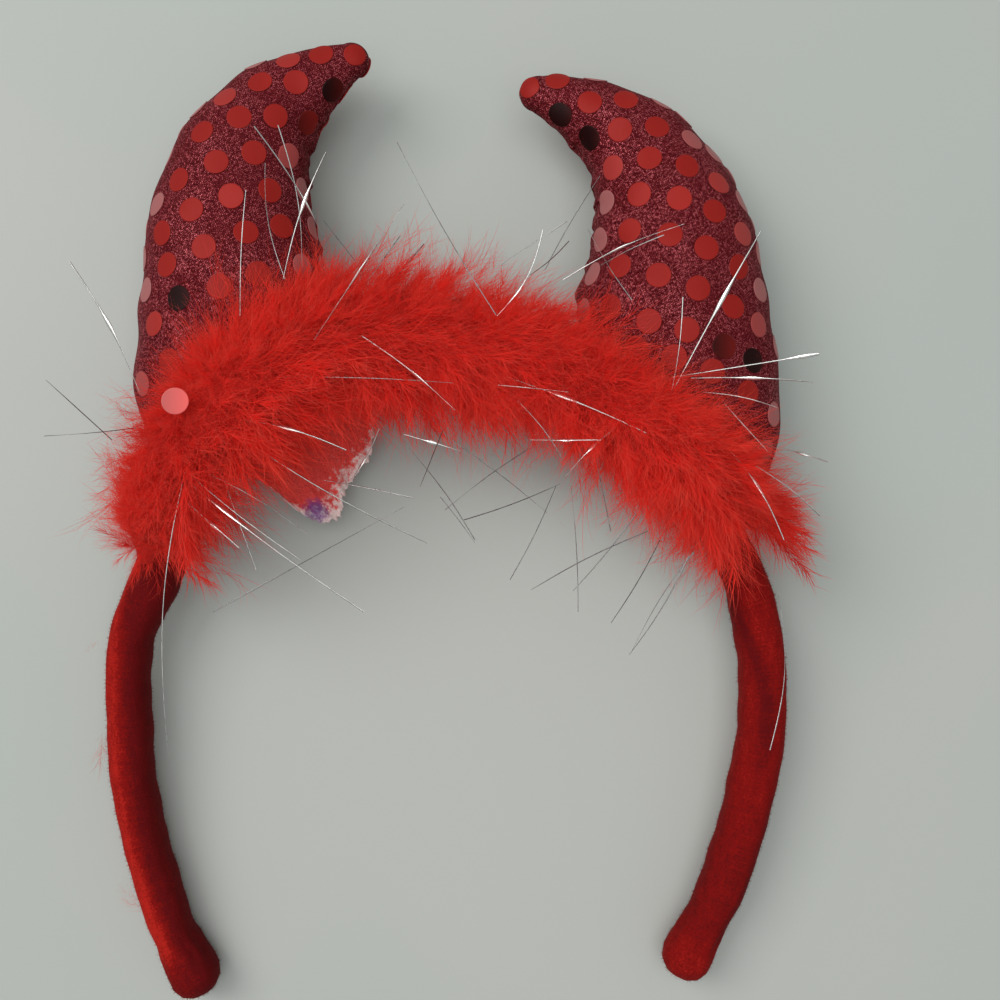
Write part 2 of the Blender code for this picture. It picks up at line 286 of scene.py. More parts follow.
HORNS = {
    Side.LEFT: rows_of(
        HornSection,
        (-38.6, 9.6, 15.0, -36.0, 17.6, 11.6),
        (-42.6, 17.4, 15.2, -31.0, 18.6, 13.4),
        (-44.6, 26.0, 15.2, -14.0, 19.3, 15.2),
        (-43.9, 35.2, 15.0, -2.0, 19.6, 16.0),
        (-43.5, 46.1, 15.0, 0.0, 18.8, 16.0),
        (-43.6, 57.6, 14.6, 4.0, 16.9, 15.1),
        (-42.3, 67.3, 14.4, 15.0, 14.9, 13.6),
        (-39.2, 74.9, 14.4, 31.0, 12.8, 11.8),
        (-34.6, 80.9, 14.7, 46.0, 10.2, 9.5),
        (-28.9, 85.4, 15.3, 56.0, 7.6, 7.1),
        (-23.4, 88.6, 16.0, 62.0, 5.4, 5.0),
        (-19.1, 90.7, 16.4, 64.0, 3.6, 3.5),
    ),
    Side.RIGHT: rows_of(
        HornSection,
        (44.8, 6.9, 14.8, 43.0, 18.0, 11.6),
        (49.2, 13.0, 15.0, 38.0, 19.2, 13.4),
        (50.6, 21.0, 15.0, 20.0, 20.0, 15.2),
        (48.7, 30.2, 15.0, 5.0, 20.2, 16.0),
        (47.0, 42.0, 15.0, 0.0, 19.6, 16.0),
        (46.9, 53.0, 14.6, -5.0, 17.1, 15.1),
        (45.2, 61.9, 14.4, -17.0, 14.9, 13.5),
        (42.1, 68.8, 14.4, -31.0, 12.7, 11.7),
        (37.6, 74.5, 14.7, -47.0, 10.3, 9.6),
        (31.4, 79.0, 15.3, -60.0, 7.8, 7.2),
        (25.0, 81.9, 16.0, -68.0, 5.7, 5.2),
        (19.2, 83.8, 16.4, -73.0, 3.6, 3.5),
    ),
}

THREAD = rows_of(
    ThreadPoint,
    (-60.5, -13.0, 23.0),
    (-58.6, -4.0, 25.0),
    (-53.4, 11.0, 30.0),
    (-41.0, 24.0, 32.0),
    (-23.0, 34.0, 27.0),
    (-3.0, 34.5, 25.0),
    (15.5, 29.5, 26.0),
    (32.5, 20.5, 30.0),
    (48.0, 11.5, 31.5),
    (60.0, -1.0, 27.5),
    (64.0, -11.5, 23.5),
)

BALL_END = rows_of(
    EndSection,
    (0.0, 0.0, 0.0),
    (0.15, 2.9, 3.3),
    (0.7, 5.8, 6.6),
    (2.0, 8.8, 9.9),
    (4.2, 10.4, 12.2),
    (7.0, 10.3, 12.4),
    (10.0, 9.2, 11.6),
    (14.0, 8.3, 11.6),
    (20.0, 8.2, 12.0),
)

# Photograph pixels of the dots that show
DOTS = {
    Side.LEFT: (
        (288, 60), (321, 54), (356, 54), (225, 97), (260, 82), (296, 82), (333, 90), (172, 157), (202, 132),
        (239, 117), (276, 116), (308, 123), (157, 204), (179, 180), (216, 162), (254, 153), (289, 156),
        (161, 233), (191, 210), (231, 195), (270, 190), (167, 265), (204, 246), (246, 233), (282, 226),
        (313, 229), (179, 298), (220, 286), (258, 273),
    ),
    Side.RIGHT: (
        (529, 87), (558, 80), (560, 115), (590, 102), (626, 99), (661, 105), (589, 138), (620, 130),
        (657, 127), (692, 140), (613, 168), (649, 158), (687, 166), (719, 183), (607, 203), (639, 194),
        (680, 198), (715, 211), (743, 234), (600, 240), (630, 231), (670, 235), (707, 248), (739, 266),
        (760, 290), (620, 266), (659, 275), (698, 288), (734, 307), (759, 325), (610, 307), (649, 321),
        (687, 330), (724, 347), (753, 360),
    ),
}

HEM_EDGE = rows_of(
    HemPoint,
    (-41.5, 3.0),
    (-39.5, 14.0),
    (-36.5, 18.5),
    (-31.5, 19.2),
    (-27.0, 15.5),
    (-21.5, 12.5),
    (-17.5, 10.0),
    (-14.5, 3.0),
)

LAY = rows_of(
    LayPoint,
    (4.0, 13.0, -0.1),
    (8.0, 18.0, -0.2),
    (9.5, 25.0, -0.1),
    (13.5, 30.0, 0.3),
    (16.0, 32.0, 0.6),
    (16.0, 32.0, 0.6),
    (16.0, 17.0, 0.8),
    (14.5, 21.0, 0.8),
    (11.5, 22.0, 0.6),
    (13.5, 19.0, 0.4),
    (13.5, 14.0, 0.4),
)

STRAYS = rows_of(
    Stray,
    (104, 728, 94, 782),
    (108, 735, 98, 770),
    (150, 905, 114, 887),
    (152, 915, 118, 893),
    (100, 640, 84, 652),
)

# the last columns paint each strand's reflection and highlight
STRANDS = rows_of(
    Strand,
    (326, 242, 254, 126, -4, 0.26, 0.75, 0.30),
    (302, 268, 278, 125, -7, 0.24, 0.75),
    (285, 279, 265, 163, 7, 0.22, 0.65),
    (240, 316, 246, 190, 2, 0.22, 0.60),
    (283, 279, 326, 152, 5, 0.26, 0.75, 0.60),
    (496, 315, 397, 142, 3, 0.24, 0.45),
    (314, 340, 408, 198, 0, 0.26, 0.75, 0.50),
    (356, 262, 324, 221, 0, 0.20, 0.20),
    (372, 275, 400, 236, 0, 0.22, 0.55),
    (398, 275, 424, 244, 0, 0.22, 0.55),
    (139, 391, 70, 262, -5, 0.30, 0.75, 0.50),
    (112, 440, 46, 380, 0, 0.22, 0.20),
    (136, 428, 44, 436, 1, 0.22, 0.20),
    (545, 270, 600, 176, 2, 0.20, 0.35),
    (563, 280, 684, 224, 5, 0.28, 0.75, 0.50),
    (600, 266, 664, 235, 2, 0.24, 0.60),
    (632, 300, 588, 229, 2, 0.22, 0.60),
    (501, 265, 567, 221, 0, 0.22, 0.50),
    (497, 316, 543, 230, -8, 0.28, 0.80, 0.30),
    (530, 275, 569, 241, -2, 0.20, 0.20),
    (669, 398, 761, 231, 1, 0.30, 0.70, 0.60),
    (672, 390, 683, 297, -2, 0.26, 0.65),
    (673, 377, 819, 354, 0, 0.30, 0.80, 0.90),
    (691, 378, 813, 382, 2, 0.26, 0.70, 0.50),
    (703, 392, 778, 408, 3, 0.26, 0.70),
    (362, 336, 455, 410, 3, 0.28, 0.80, 0.60),
    (226, 418, 346, 450, 6, 0.26, 0.75, 0.50),
    (228, 428, 427, 543, -6, 0.26, 0.65),
    (190, 452, 168, 755, -16, 0.22, 0.50),
    (170, 466, 364, 612, -4, 0.28, 0.70, 0.30),
    (176, 462, 300, 560, -3, 0.24, 0.65),
    (200, 470, 307, 534, 4, 0.24, 0.65),
    (221, 471, 256, 570, 0, 0.22, 0.45),
    (335, 497, 379, 429, -5, 0.24, 0.75, 0.50),
    (323, 480, 413, 498, 1, 0.26, 0.65),
    (404, 507, 213, 612, 0, 0.24, 0.15),
    (404, 434, 460, 451, 0, 0.28, 0.80, 0.50),
    (409, 448, 475, 540, 3, 0.22, 0.15),
    (443, 430, 420, 487, 0, 0.20, 0.10),
    (188, 503, 239, 548, 0, 0.30, 0.90, 0.50),
    (277, 377, 453, 383, 2, 0.20, 0.55),
    (507, 377, 646, 433, 3, 0.30, 0.90, 0.40),
    (498, 385, 569, 392, 0, 0.24, 0.75),
    (530, 440, 601, 440, 0, 0.28, 0.90, 0.50),
    (622, 423, 565, 477, -3, 0.26, 0.75, 0.50),
    (518, 401, 563, 460, 3, 0.22, 0.55),
    (571, 486, 578, 612, 2, 0.20, 0.15),
    (595, 454, 611, 532, 0, 0.22, 0.55),
    (560, 484, 464, 520, 2, 0.22, 0.20),
    (556, 486, 510, 580, 2, 0.22, 0.15),
    (452, 440, 547, 513, 2, 0.22, 0.25),
    (530, 448, 445, 510, -2, 0.22, 0.30),
    (648, 531, 531, 590, -3, 0.24, 0.15),
    (636, 514, 573, 591, 2, 0.22, 0.20),
    (689, 556, 629, 655, 4, 0.26, 0.10),
    (694, 552, 631, 653, -4, 0.22, 0.15),
    (660, 540, 611, 623, 2, 0.22, 0.15),
    (756, 466, 820, 516, 3, 0.24, 0.50),
    (764, 446, 828, 462, 2, 0.28, 0.90, 0.60),
    (724, 403, 768, 452, 0, 0.24, 0.70),
    (440, 497, 475, 543, 1, 0.20, 0.20),
    (721, 441, 784, 540, 7, 0.26, 0.65, 0.50),
    (778, 592, 770, 750, 11, 0.24, 0.50),
)


# Helpers for numbers and meshes


def read_table(rows: Sequence[tuple], places: np.ndarray) -> np.ndarray:
    """Rows at places along a table, each column read from a smooth curve through the rows.

    Args:
        rows: the table.
        places: places along it, 0 at its first row and 1 more at each next row.

    Returns:
        One row of columns for each place.
    """
    table = np.array(rows, dtype=float)
    last = len(table) - 1
    step = np.clip(places.astype(int), 0, last - 1)
    t = (places - step)[:, None]
    a, b, c, d = (table[np.clip(step + k, 0, last)] for k in (-1, 0, 1, 2))
    linear = (c - a) * t
    square = (2.0 * a - 5.0 * b + 4.0 * c - d) * t * t
    cube = (3.0 * b - a - 3.0 * c + d) * t**3
    return 0.5 * (2.0 * b + linear + square + cube)


def lengths_along(points: np.ndarray) -> np.ndarray:
    """Distance from the first point of a line to each of its points."""
    steps = np.linalg.norm(np.diff(points, axis=0), axis=1)
    return np.concatenate(([0.0], np.cumsum(steps)))


def even_walk(points: np.ndarray, count: int) -> np.ndarray:
    """Points evenly spaced along a line.

    Args:
        points: the line's points, which may have more columns than a place.
        count: how many points to return.

    Returns:
        The evenly spaced points.
    """
    run = lengths_along(points[:, :3])
    wanted = np.linspace(0.0, run[-1], count)
    return np.stack([np.interp(wanted, run, column) for column in points.T], axis=1)


def unit(vectors: np.ndarray) -> np.ndarray:
    """The same vectors at length 1."""
    size = np.linalg.norm(vectors, axis=-1, keepdims=True)
    return vectors / np.maximum(size, 1e-12)


def smooth(low: float, high: float, value: np.ndarray) -> np.ndarray:
    """A smooth step from 0 at low to 1 at high."""
    t = np.clip((value - low) / (high - low), 0.0, 1.0)
    return t * t * (3.0 - 2.0 * t)


def signed_power(value: np.ndarray, power: float) -> np.ndarray:
    """A power that keeps the sign of its base."""
    return np.sign(value) * np.abs(value) ** power


def new_piece(name: str, mesh: Mesh) -> Object:
    """An object for a mesh, at the origin and shaded smooth."""
    mesh.shade_smooth()
    piece = bpy.data.objects.new(name, mesh)
    bpy.context.scene.collection.objects.link(piece)
    return piece


def add_attribute(mesh: Mesh, name: str, values: np.ndarray) -> None:
    """Stores a number or a vector for each point of a mesh.

    Args:
        mesh: the mesh.
        name: the attribute's name.
        values: one number, or one row of three, for each point.
    """
    kind, key = ("FLOAT", "value") if values.ndim == 1 else ("FLOAT_VECTOR", "vector")
    layer = mesh.attributes.new(name, kind, "POINT")
    layer.data.foreach_set(key, np.ascontiguousarray(values, np.float32).ravel())


def skin_rings(name: str, rings: np.ndarray, flat: np.ndarray | None = None) -> Mesh:
    """A closed skin over rings of points, each end drawn together to one point.

    Args:
        name: the mesh's name.
        rings: points as (ring, side, 3). The first and last ring are fans' rims.
        flat: the UV place of each point as (ring, side + 1, 2), the last side being
            the first once more.

    Returns:
        The mesh.
    """
    count, sides = rings.shape[:2]
    points = np.concatenate((rings.reshape(-1, 3), rings[:1].mean(1), rings[-1:].mean(1)))
    r, s = np.meshgrid(np.arange(count - 1), np.arange(sides), indexing="ij")
    n = (s + 1) % sides
    quads = np.stack((r * sides + s, r * sides + n, (r + 1) * sides + n, (r + 1) * sides + s), -1)
    faces = [tuple(quad) for quad in quads.reshape(-1, 4).tolist()]
    corners = [
        ((a, b), (a, b + 1), (a + 1, b + 1), (a + 1, b)) for a in range(count - 1) for b in range(sides)
    ]
    base = (count - 1) * sides
    for k in range(sides):
        n = (k + 1) % sides
        faces.append((n, k, count * sides))
        corners.append(((0, k + 1), (0, k), (0, k)))
        faces.append((base + k, base + n, count * sides + 1))
        corners.append(((count - 1, k), (count - 1, k + 1), (count - 1, k)))
    mesh = bpy.data.meshes.new(name)
    mesh.from_pydata(points.tolist(), [], faces)
    if flat is not None:
        layer = mesh.uv_layers.new(name="cloth")
        index = np.array([corner for face in corners for corner in face])
        layer.data.foreach_set("uv", flat[index[:, 0], index[:, 1]].astype(np.float32).ravel())
    mesh.validate()
    if signed_volume(mesh) < 0.0:
        mesh.flip_normals()
    return mesh


def signed_volume(mesh: Mesh) -> float:
    """Volume inside a closed mesh, below zero where its faces point inwards."""
    mesh.calc_loop_triangles()
    index = np.zeros(len(mesh.loop_triangles) * 3, np.int32)
    mesh.loop_triangles.foreach_get("vertices", index)
    places = np.zeros(len(mesh.vertices) * 3)
    mesh.vertices.foreach_get("co", places)
    a, b, c = places.reshape(-1, 3)[index.reshape(-1, 3)].transpose(1, 0, 2)
    return float(np.einsum("ij,ij->i", a, np.cross(b, c)).sum() / 6.0)


def triangle_count(piece: Object) -> int:
    """How many triangles a mesh object has."""
    piece.data.calc_loop_triangles()
    return len(piece.data.loop_triangles)


def joined_mesh(pieces: Sequence[Object]) -> Mesh:
    """The meshes of some pieces as one mesh."""
    points: list[tuple[float, float, float]] = []
    faces: list[list[int]] = []
    for piece in pieces:
        base = len(points)
        points += [tuple(vertex.co) for vertex in piece.data.vertices]
        faces += [[base + k for k in face.vertices] for face in piece.data.polygons]
    mesh = bpy.data.meshes.new("joined")
    mesh.from_pydata(points, [], faces)
    return mesh


def surface_tree(mesh: Mesh) -> BVHTree:
    """The surface of a mesh as a tree, to cast rays at."""
    points = [vertex.co.copy() for vertex in mesh.vertices]
    faces = [tuple(face.vertices) for face in mesh.polygons]
    return BVHTree.FromPolygons(points, faces)


# Node trees


class Wire:
    """A socket of a node tree that takes Python's operators."""

    def __init__(self, tree: "Tree", socket: NodeSocket) -> None:
        """Wraps a socket of a tree."""
        self.tree = tree
        self.socket = socket

    def __add__(self, other: "Wire | float") -> "Wire":
        """Sum."""
        return self.tree.math("ADD", self, other)

    def __radd__(self, other: float) -> "Wire":
        """Sum, the number first."""
        return self.tree.math("ADD", other, self)

    def __sub__(self, other: "Wire | float") -> "Wire":
        """Difference."""
        return self.tree.math("SUBTRACT", self, other)

    def __rsub__(self, other: float) -> "Wire":
        """Difference, the number first."""
        return self.tree.math("SUBTRACT", other, self)

    def __mul__(self, other: "Wire | float") -> "Wire":
        """Product."""
        return self.tree.math("MULTIPLY", self, other)

    def __rmul__(self, other: float) -> "Wire":
        """Product, the number first."""
        return self.tree.math("MULTIPLY", other, self)

    def __pow__(self, other: "Wire | float") -> "Wire":
        """Power."""
        return self.tree.math("POWER", self, other)

    def sine(self) -> "Wire":
        """Sine."""
        return self.tree.math("SINE", self)

    def rise(self, low: float, high: float) -> "Wire":
        """A smooth step from 0 at low to 1 at high.

        Args:
            low: value where the step starts.
            high: value where it ends.

        Returns:
            The step.
        """
        found = self.tree.node(
            "ShaderNodeMapRange",
            {"interpolation_type": "SMOOTHSTEP"},
            {"Value": self, "From Min": low, "From Max": high},
        )
        return Wire(self.tree, found.outputs["Result"])


class Tree:
    """A node tree under construction."""

    def __init__(self, tree: NodeTree) -> None:
        """Starts on an existing tree."""
        self.tree = tree

    def node(
        self,
        kind: str,
        settings: dict[str, Any] | None = None,
        inputs: dict[str | int, Any] | None = None,
    ) -> Node:
        """Adds a node.

        Args:
            kind: the node's type.
            settings: its properties, set first.
            inputs: a value or a wire for each socket, by name or number.

        Returns:
            The node.
        """
        made = self.tree.nodes.new(kind)
        for key, value in (settings or {}).items():
            setattr(made, key, value)
        for key, value in (inputs or {}).items():
            if isinstance(value, Wire):
                self.tree.links.new(value.socket, made.inputs[key])
            else:
                made.inputs[key].default_value = value
        return made

    def wire(
        self,
        kind: str,
        output: str | int,
        settings: dict[str, Any] | None = None,
        inputs: dict[str | int, Any] | None = None,
    ) -> Wire:
        """Adds a node and returns one of its outputs.

        Args:
            kind: the node's type.
            output: name or number of the output.
            settings: as for node.
            inputs: as for node.

        Returns:
            The output as a wire.
        """
        return Wire(self, self.node(kind, settings, inputs).outputs[output])

    def math(self, operation: str, *values: Wire | float) -> Wire:
        """One step of maths on wires and numbers."""
        return self.wire("ShaderNodeMath", 0, {"operation": operation}, dict(enumerate(values)))

    def vector(self, operation: str, *values: Wire | tuple, output: str = "Vector") -> Wire:
        """One step of vector maths."""
        settings = {"operation": operation}
        return self.wire("ShaderNodeVectorMath", output, settings, dict(enumerate(values)))

    def scaled(self, vector: Wire, factor: Wire | float) -> Wire:
        """A vector times a number."""
        settings = {"operation": "SCALE"}
        return self.wire("ShaderNodeVectorMath", "Vector", settings, {0: vector, "Scale": factor})

    def parts(self, vector: Wire) -> tuple[Wire, Wire, Wire]:
        """The three parts of a vector."""
        made = self.node("ShaderNodeSeparateXYZ", None, {0: vector})
        return Wire(self, made.outputs[0]), Wire(self, made.outputs[1]), Wire(self, made.outputs[2])

    def joined(self, x: Wire | float, y: Wire | float, z: Wire | float) -> Wire:
        """A vector from three parts."""
        return self.wire("ShaderNodeCombineXYZ", 0, None, {0: x, 1: y, 2: z})


Colour = tuple[float, float, float]


class Finish(Tree):
    """A material under construction."""

    def __init__(self, name: str) -> None:
        """Starts an empty material."""
        self.material = bpy.data.materials.new(name)
        self.material.use_nodes = True
        super().__init__(self.material.node_tree)
        self.tree.nodes.clear()

    def attribute(self, name: str) -> Wire:
        """The piece's own attribute."""
        return self.wire("ShaderNodeAttribute", "Fac", {"attribute_name": name})

    def cloth_place(self) -> Wire:
        """Place on the flat cloth in millimetres, from the piece's UV map."""
        place = self.wire("ShaderNodeUVMap", "UV", {"uv_map": "cloth"})
        return self.scaled(place, 1.0 / MM)

    def object_place(self) -> Wire:
        """Place in the object in millimetres."""
        return self.scaled(self.wire("ShaderNodeTexCoord", "Object"), 1.0 / MM)

    def noise(self, place: Wire, pitch: float, detail: float = 2.0) -> Wire:
        """Noise whose features are about a pitch across."""
        inputs = {"Vector": place, "Scale": 1.0 / pitch, "Detail": detail}
        return self.wire("ShaderNodeTexNoise", "Fac", None, inputs)

    def cells(self, place: Wire, pitch: float) -> Wire:
        """A random colour for each cell of a pattern whose cells are about a pitch across."""
        inputs = {"Vector": place, "Scale": 1.0 / pitch}
        return self.wire("ShaderNodeTexVoronoi", "Color", None, inputs)

    def mix(self, factor: Wire | float, low: Wire | Colour, high: Wire | Colour) -> Wire:
        """A mix of two colours.

        Args:
            factor: 0 for the first colour, 1 for the second.
            low: the first colour.
            high: the second colour.

        Returns:
            The mixed colour.
        """
        low, high = (c if isinstance(c, Wire) else (*c, 1.0) for c in (low, high))
        return self.wire("ShaderNodeMix", 2, {"data_type": "RGBA"}, {0: factor, 6: low, 7: high})

    def bump(self, height: Wire, depth: float, strength: float = 1.0) -> Wire:
        """A normal from a height of 0 to 1 over a depth in metres."""
        inputs = {"Height": height, "Distance": depth, "Strength": strength}
        return self.wire("ShaderNodeBump", "Normal", None, inputs)

    def surface(self, **inputs: Any) -> Wire:
        """A Principled shader. An underscore in a name stands for a space."""
        named = {key.replace("_", " "): value for key, value in inputs.items()}
        return self.wire("ShaderNodeBsdfPrincipled", 0, None, named)

    def done(self, shader: Wire) -> Material:
        """Links the shader to the output and returns the material."""
        self.node("ShaderNodeOutputMaterial", None, {"Surface": shader})
        return self.material


class Recipe(Tree):
    """A Geometry Nodes group under construction, with named inputs."""

    def __init__(self, name: str, sizes: dict[str, tuple[str, Any]]) -> None:
        """Starts a group.

        Args:
            name: the group's name.
            sizes: for each named input the socket's type and its value.
        """
        group = bpy.data.node_groups.new(name, "GeometryNodeTree")
        super().__init__(group)
        self.sizes = sizes
        face = group.interface
        face.new_socket("Geometry", in_out="INPUT", socket_type="NodeSocketGeometry")
        face.new_socket("Geometry", in_out="OUTPUT", socket_type="NodeSocketGeometry")
        for key, (kind, _) in sizes.items():
            face.new_socket(key, in_out="INPUT", socket_type=kind)
        self.start = self.node("NodeGroupInput")

    def given(self, name: str = "Geometry") -> Wire:
        """One of the group's inputs."""
        return Wire(self, self.start.outputs[name])

    def named(self, name: str, kind: str = "FLOAT") -> Wire:
        """An attribute of the geometry."""
        settings = {"data_type": kind}
        return self.wire("GeometryNodeInputNamedAttribute", "Attribute", settings, {"Name": name})

    def position(self) -> Wire:
        """The place of each point."""
        return self.wire("GeometryNodeInputPosition", 0)

    def shape(self, name: str) -> Wire:
        """The geometry of an object that is one of the group's inputs."""
        return self.wire("GeometryNodeObjectInfo", "Geometry", None, {"Object": self.given(name)})

    def facing(self, aim: Wire) -> Wire:
        """The rotation that turns the Z axis towards an aim."""
        return self.wire("FunctionNodeAlignRotationToVector", 0, {"axis": "Z"}, {"Vector": aim})

    def rolled(self, turned: Wire, roll: Wire) -> Wire:
        """A rotation that first rolls about its own Z axis."""
        inputs = {0: turned, 1: self.joined(0.0, 0.0, roll)}
        return self.wire("FunctionNodeRotateRotation", 0, {"rotation_space": "LOCAL"}, inputs)

    def wander(self, reach: float, seed: Wire | int) -> Wire:
        """A random vector for each element, with each part between -reach and reach."""
        inputs = {0: (-reach,) * 3, 1: (reach,) * 3, "Seed": seed}
        return self.wire("FunctionNodeRandomValue", "Value", {"data_type": "FLOAT_VECTOR"}, inputs)

    def realized(self, geometry: Wire) -> Wire:
        """The geometry with its instances made real."""
        return self.wire("GeometryNodeRealizeInstances", 0, None, {0: geometry})

    def stored(self, geometry: Wire, name: str, value: Wire, domain: str = "POINT") -> Wire:
        """Stores a number on a geometry.

        Args:
            geometry: the geometry.
            name: the attribute's name.
            value: the number.
            domain: what it is stored on.

        Returns:
            The geometry with the attribute.
        """
        settings = {"data_type": "FLOAT", "domain": domain}
        inputs = {"Geometry": geometry, "Name": name, "Value": value}
        return self.wire("GeometryNodeStoreNamedAttribute", 0, settings, inputs)

    def floored(self, geometry: Wire, level: float = 0.02 * MM) -> Wire:
        """Lifts every point of a geometry to a level over the floor, where it is lower."""
        x, y, z = self.parts(self.position())
        place = self.joined(x, y, self.math("MAXIMUM", z, level))
        return self.wire("GeometryNodeSetPosition", 0, None, {"Geometry": geometry, "Position": place})

    def chance(self, low: float, high: float, seed: Wire | int, number: Wire | None = None) -> Wire:
        """A random number for each element.

        Args:
            low: the least.
            high: the most.
            seed: the seed.
            number: what tells the elements apart, or their own index.

        Returns:
            The random number.
        """
        inputs = {2: low, 3: high, "Seed": seed}
        if number is not None:
            inputs["ID"] = number
        return self.wire("FunctionNodeRandomValue", 1, {"data_type": "FLOAT"}, inputs)

    def nearest(self, body: Wire) -> tuple[Wire, Wire, Wire]:
        """The nearest place on a surface.

        Args:
            body: the surface.

        Returns:
            The place, the surface's normal there, and the distance.
        """
        place = self.position()
        inputs = {0: body, "Sample Position": place}
        near = self.node("GeometryNodeProximity", {"target_element": "FACES"}, inputs)
        faced = self.wire("GeometryNodeInputNormal", 0)
        inputs = {"Mesh": body, "Value": faced, "Sample Position": place}
        settings = {"data_type": "FLOAT_VECTOR"}
        normal = self.wire("GeometryNodeSampleNearestSurface", "Value", settings, inputs)
        return Wire(self, near.outputs["Position"]), normal, Wire(self, near.outputs["Distance"])

    def bake(self, host: Object, last: Wire, material: Material) -> Object:
        """Ends the tree, runs it on an object and keeps the result as a plain mesh.

        Args:
            host: the object that holds the points or curves.
            last: the geometry before instances are realized.
            material: the material for everything that is made.

        Returns:
            The host as a plain mesh object.
        """
        inputs = {0: self.realized(last), "Material": material}
        dressed = self.wire("GeometryNodeSetMaterial", 0, None, inputs)
        self.node("NodeGroupOutput", None, {0: dressed})
        modifier = host.modifiers.new("recipe", "NODES")
        modifier.node_group = self.tree
        for item in self.tree.interface.items_tree:
            if item.item_type == "SOCKET" and item.in_out == "INPUT" and item.name in self.sizes:
                modifier[item.identifier] = self.sizes[item.name][1]
        view = bpy.context.evaluated_depsgraph_get()
        mesh = bpy.data.meshes.new_from_object(host.evaluated_get(view))
        name = host.name
        bpy.data.objects.remove(host)
        mesh.name = name
        return new_piece(name, mesh)


# Finishes


@dataclass(frozen=True)
class VelvetFinish:
    """Short red pile. Its colour runs from dark, in painted shade, to bright, in painted light, with random
    streaks and grain of the pile over it.
    """

    # The first colour is the velvet in painted shade, the last in painted light
    deep_and_shaded: Colour = (0.102, 0.0024, 0.0034)
    body: Colour = (0.19, 0.0035, 0.003)
    brushed_and_lit: Colour = (0.40, 0.013, 0.008)
    line_pitch: float = 0.42

    def material(self) -> Material:
        """Builds the material."""
        f = Finish("red_velvet")
        place = f.cloth_place()
        u, v, _ = f.parts(place)
        # painted light and shade stored on the band, which sets the colour together with the noises below
        nap = f.attribute("nap")
        warp = f.noise(place, 3.5, 3.0)
        lines = f.noise(f.joined(u * (1.0 / self.line_pitch), v * 0.16 + warp * 0.5, 0.0), 1.0, 2.0)
        rubs = f.noise(f.joined(u * 0.5, v, 0.0), 1.6, 4.0)
        pile = f.noise(place, 0.14, 2.0)
        grain = f.noise(place, 0.45, 3.0)
        tone = nap + (lines - 0.5) * 0.45 + (rubs - 0.5) * 0.6 + (pile - 0.5) * 0.8 + (grain - 0.5) * 1.0
        # dark where the shade is painted, bright where the light is painted
        colour = f.mix(tone.rise(0.05, 0.6), self.deep_and_shaded, self.body)
        colour = f.mix(tone.rise(0.55, 1.1), colour, self.brushed_and_lit)
        return f.done(
            f.surface(
                Base_Color=colour,
                Roughness=0.92,
                Specular_IOR_Level=0.1,
                Sheen_Weight=0.06,
                Sheen_Roughness=0.28,
                Sheen_Tint=(1.0, 0.3, 0.25, 1.0),
                Normal=f.bump(pile * 0.6 + lines * 0.4, 0.12 * MM, 0.8),
            )
        )


@dataclass(frozen=True)
class KnitFinish:
    """Fine dark wine knit with a metallic yarn whose flakes glint in places; the yarn's pale colour partly
    paints those glints.

    Attributes:
        shade, yarn, lurex: colours of the gaps, the plain yarn, and the metallic yarn, whose pale colour is
            partly a painted glint.
        course, wale: pitches of the knit in millimetres.
        flake, speck: sizes of the larger and the smaller glints in millimetres.
        shake: how far the flakes tilt.
        relief: height of the stitches.
    """

    shade: Colour = (0.038, 0.0020, 0.0034)
    yarn: Colour = (0.150, 0.0110, 0.0158)
    lurex_and_glint: Colour = (0.60, 0.135, 0.155)
    course: float = 0.62
    wale: float = 0.48
    flake: float = 0.25
    speck: float = 0.16
    shake: float = 0.5
    relief: float = 0.09 * MM

    def material(self) -> Material:
        """Builds the material."""
        f = Finish("wine_glitter_knit")
        place = f.cloth_place()
        u, v, _ = f.parts(place)
        wander = f.noise(place, 2.4, 2.0) - 0.5
        across = ((v + u * 0.3 + wander * 0.6) * (TURN / self.course)).sine()
        down = ((u - v * 0.3 + wander * 0.6) * (TURN / self.wale)).sine()
        rows = across * down * 0.5 + 0.5
        fuzz = f.noise(place, 0.3, 3.0)
        broad = f.noise(place, 8.0, 2.0)
        flake = f.cells(place, self.flake)
        luck, height, _ = f.parts(flake)
        speck, _, _ = f.parts(f.cells(place, self.speck))
        tone = luck * 0.30 + speck * 0.25 + fuzz * 0.35 + rows * 0.30
        body = f.mix(tone.rise(0.34, 0.86), self.shade, self.yarn)
        # where the metallic yarn shows, its pale colour partly paints glints
        glint = (luck * 0.55 + speck * 0.40 + (broad - 0.5) * 0.4 + (rows - 0.5) * 0.45).rise(0.56, 1.05)
        colour = f.mix(glint, body, self.lurex_and_glint)
        normal = f.wire("ShaderNodeNewGeometry", "Normal")
        turned = f.scaled(f.vector("SUBTRACT", flake, (0.5, 0.5, 0.5)), self.shake)
        shaken = f.vector("NORMALIZE", f.vector("ADD", normal, turned))
        level = rows * 0.3 + fuzz * 0.4 + height * 0.3
        inputs = {"Height": level, "Distance": self.relief, "Normal": shaken}
        relief = f.wire("ShaderNodeBump", "Normal", None, inputs)
        return f.done(
            f.surface(
                Base_Color=colour,
                Metallic=glint * 0.5,
                Roughness=0.65 - glint * 0.25,
                Specular_IOR_Level=0.03,
                Sheen_Weight=0.04,
                Sheen_Roughness=0.4,
                Sheen_Tint=(1.0, 0.25, 0.28, 1.0),
                Normal=relief,
            )
        )


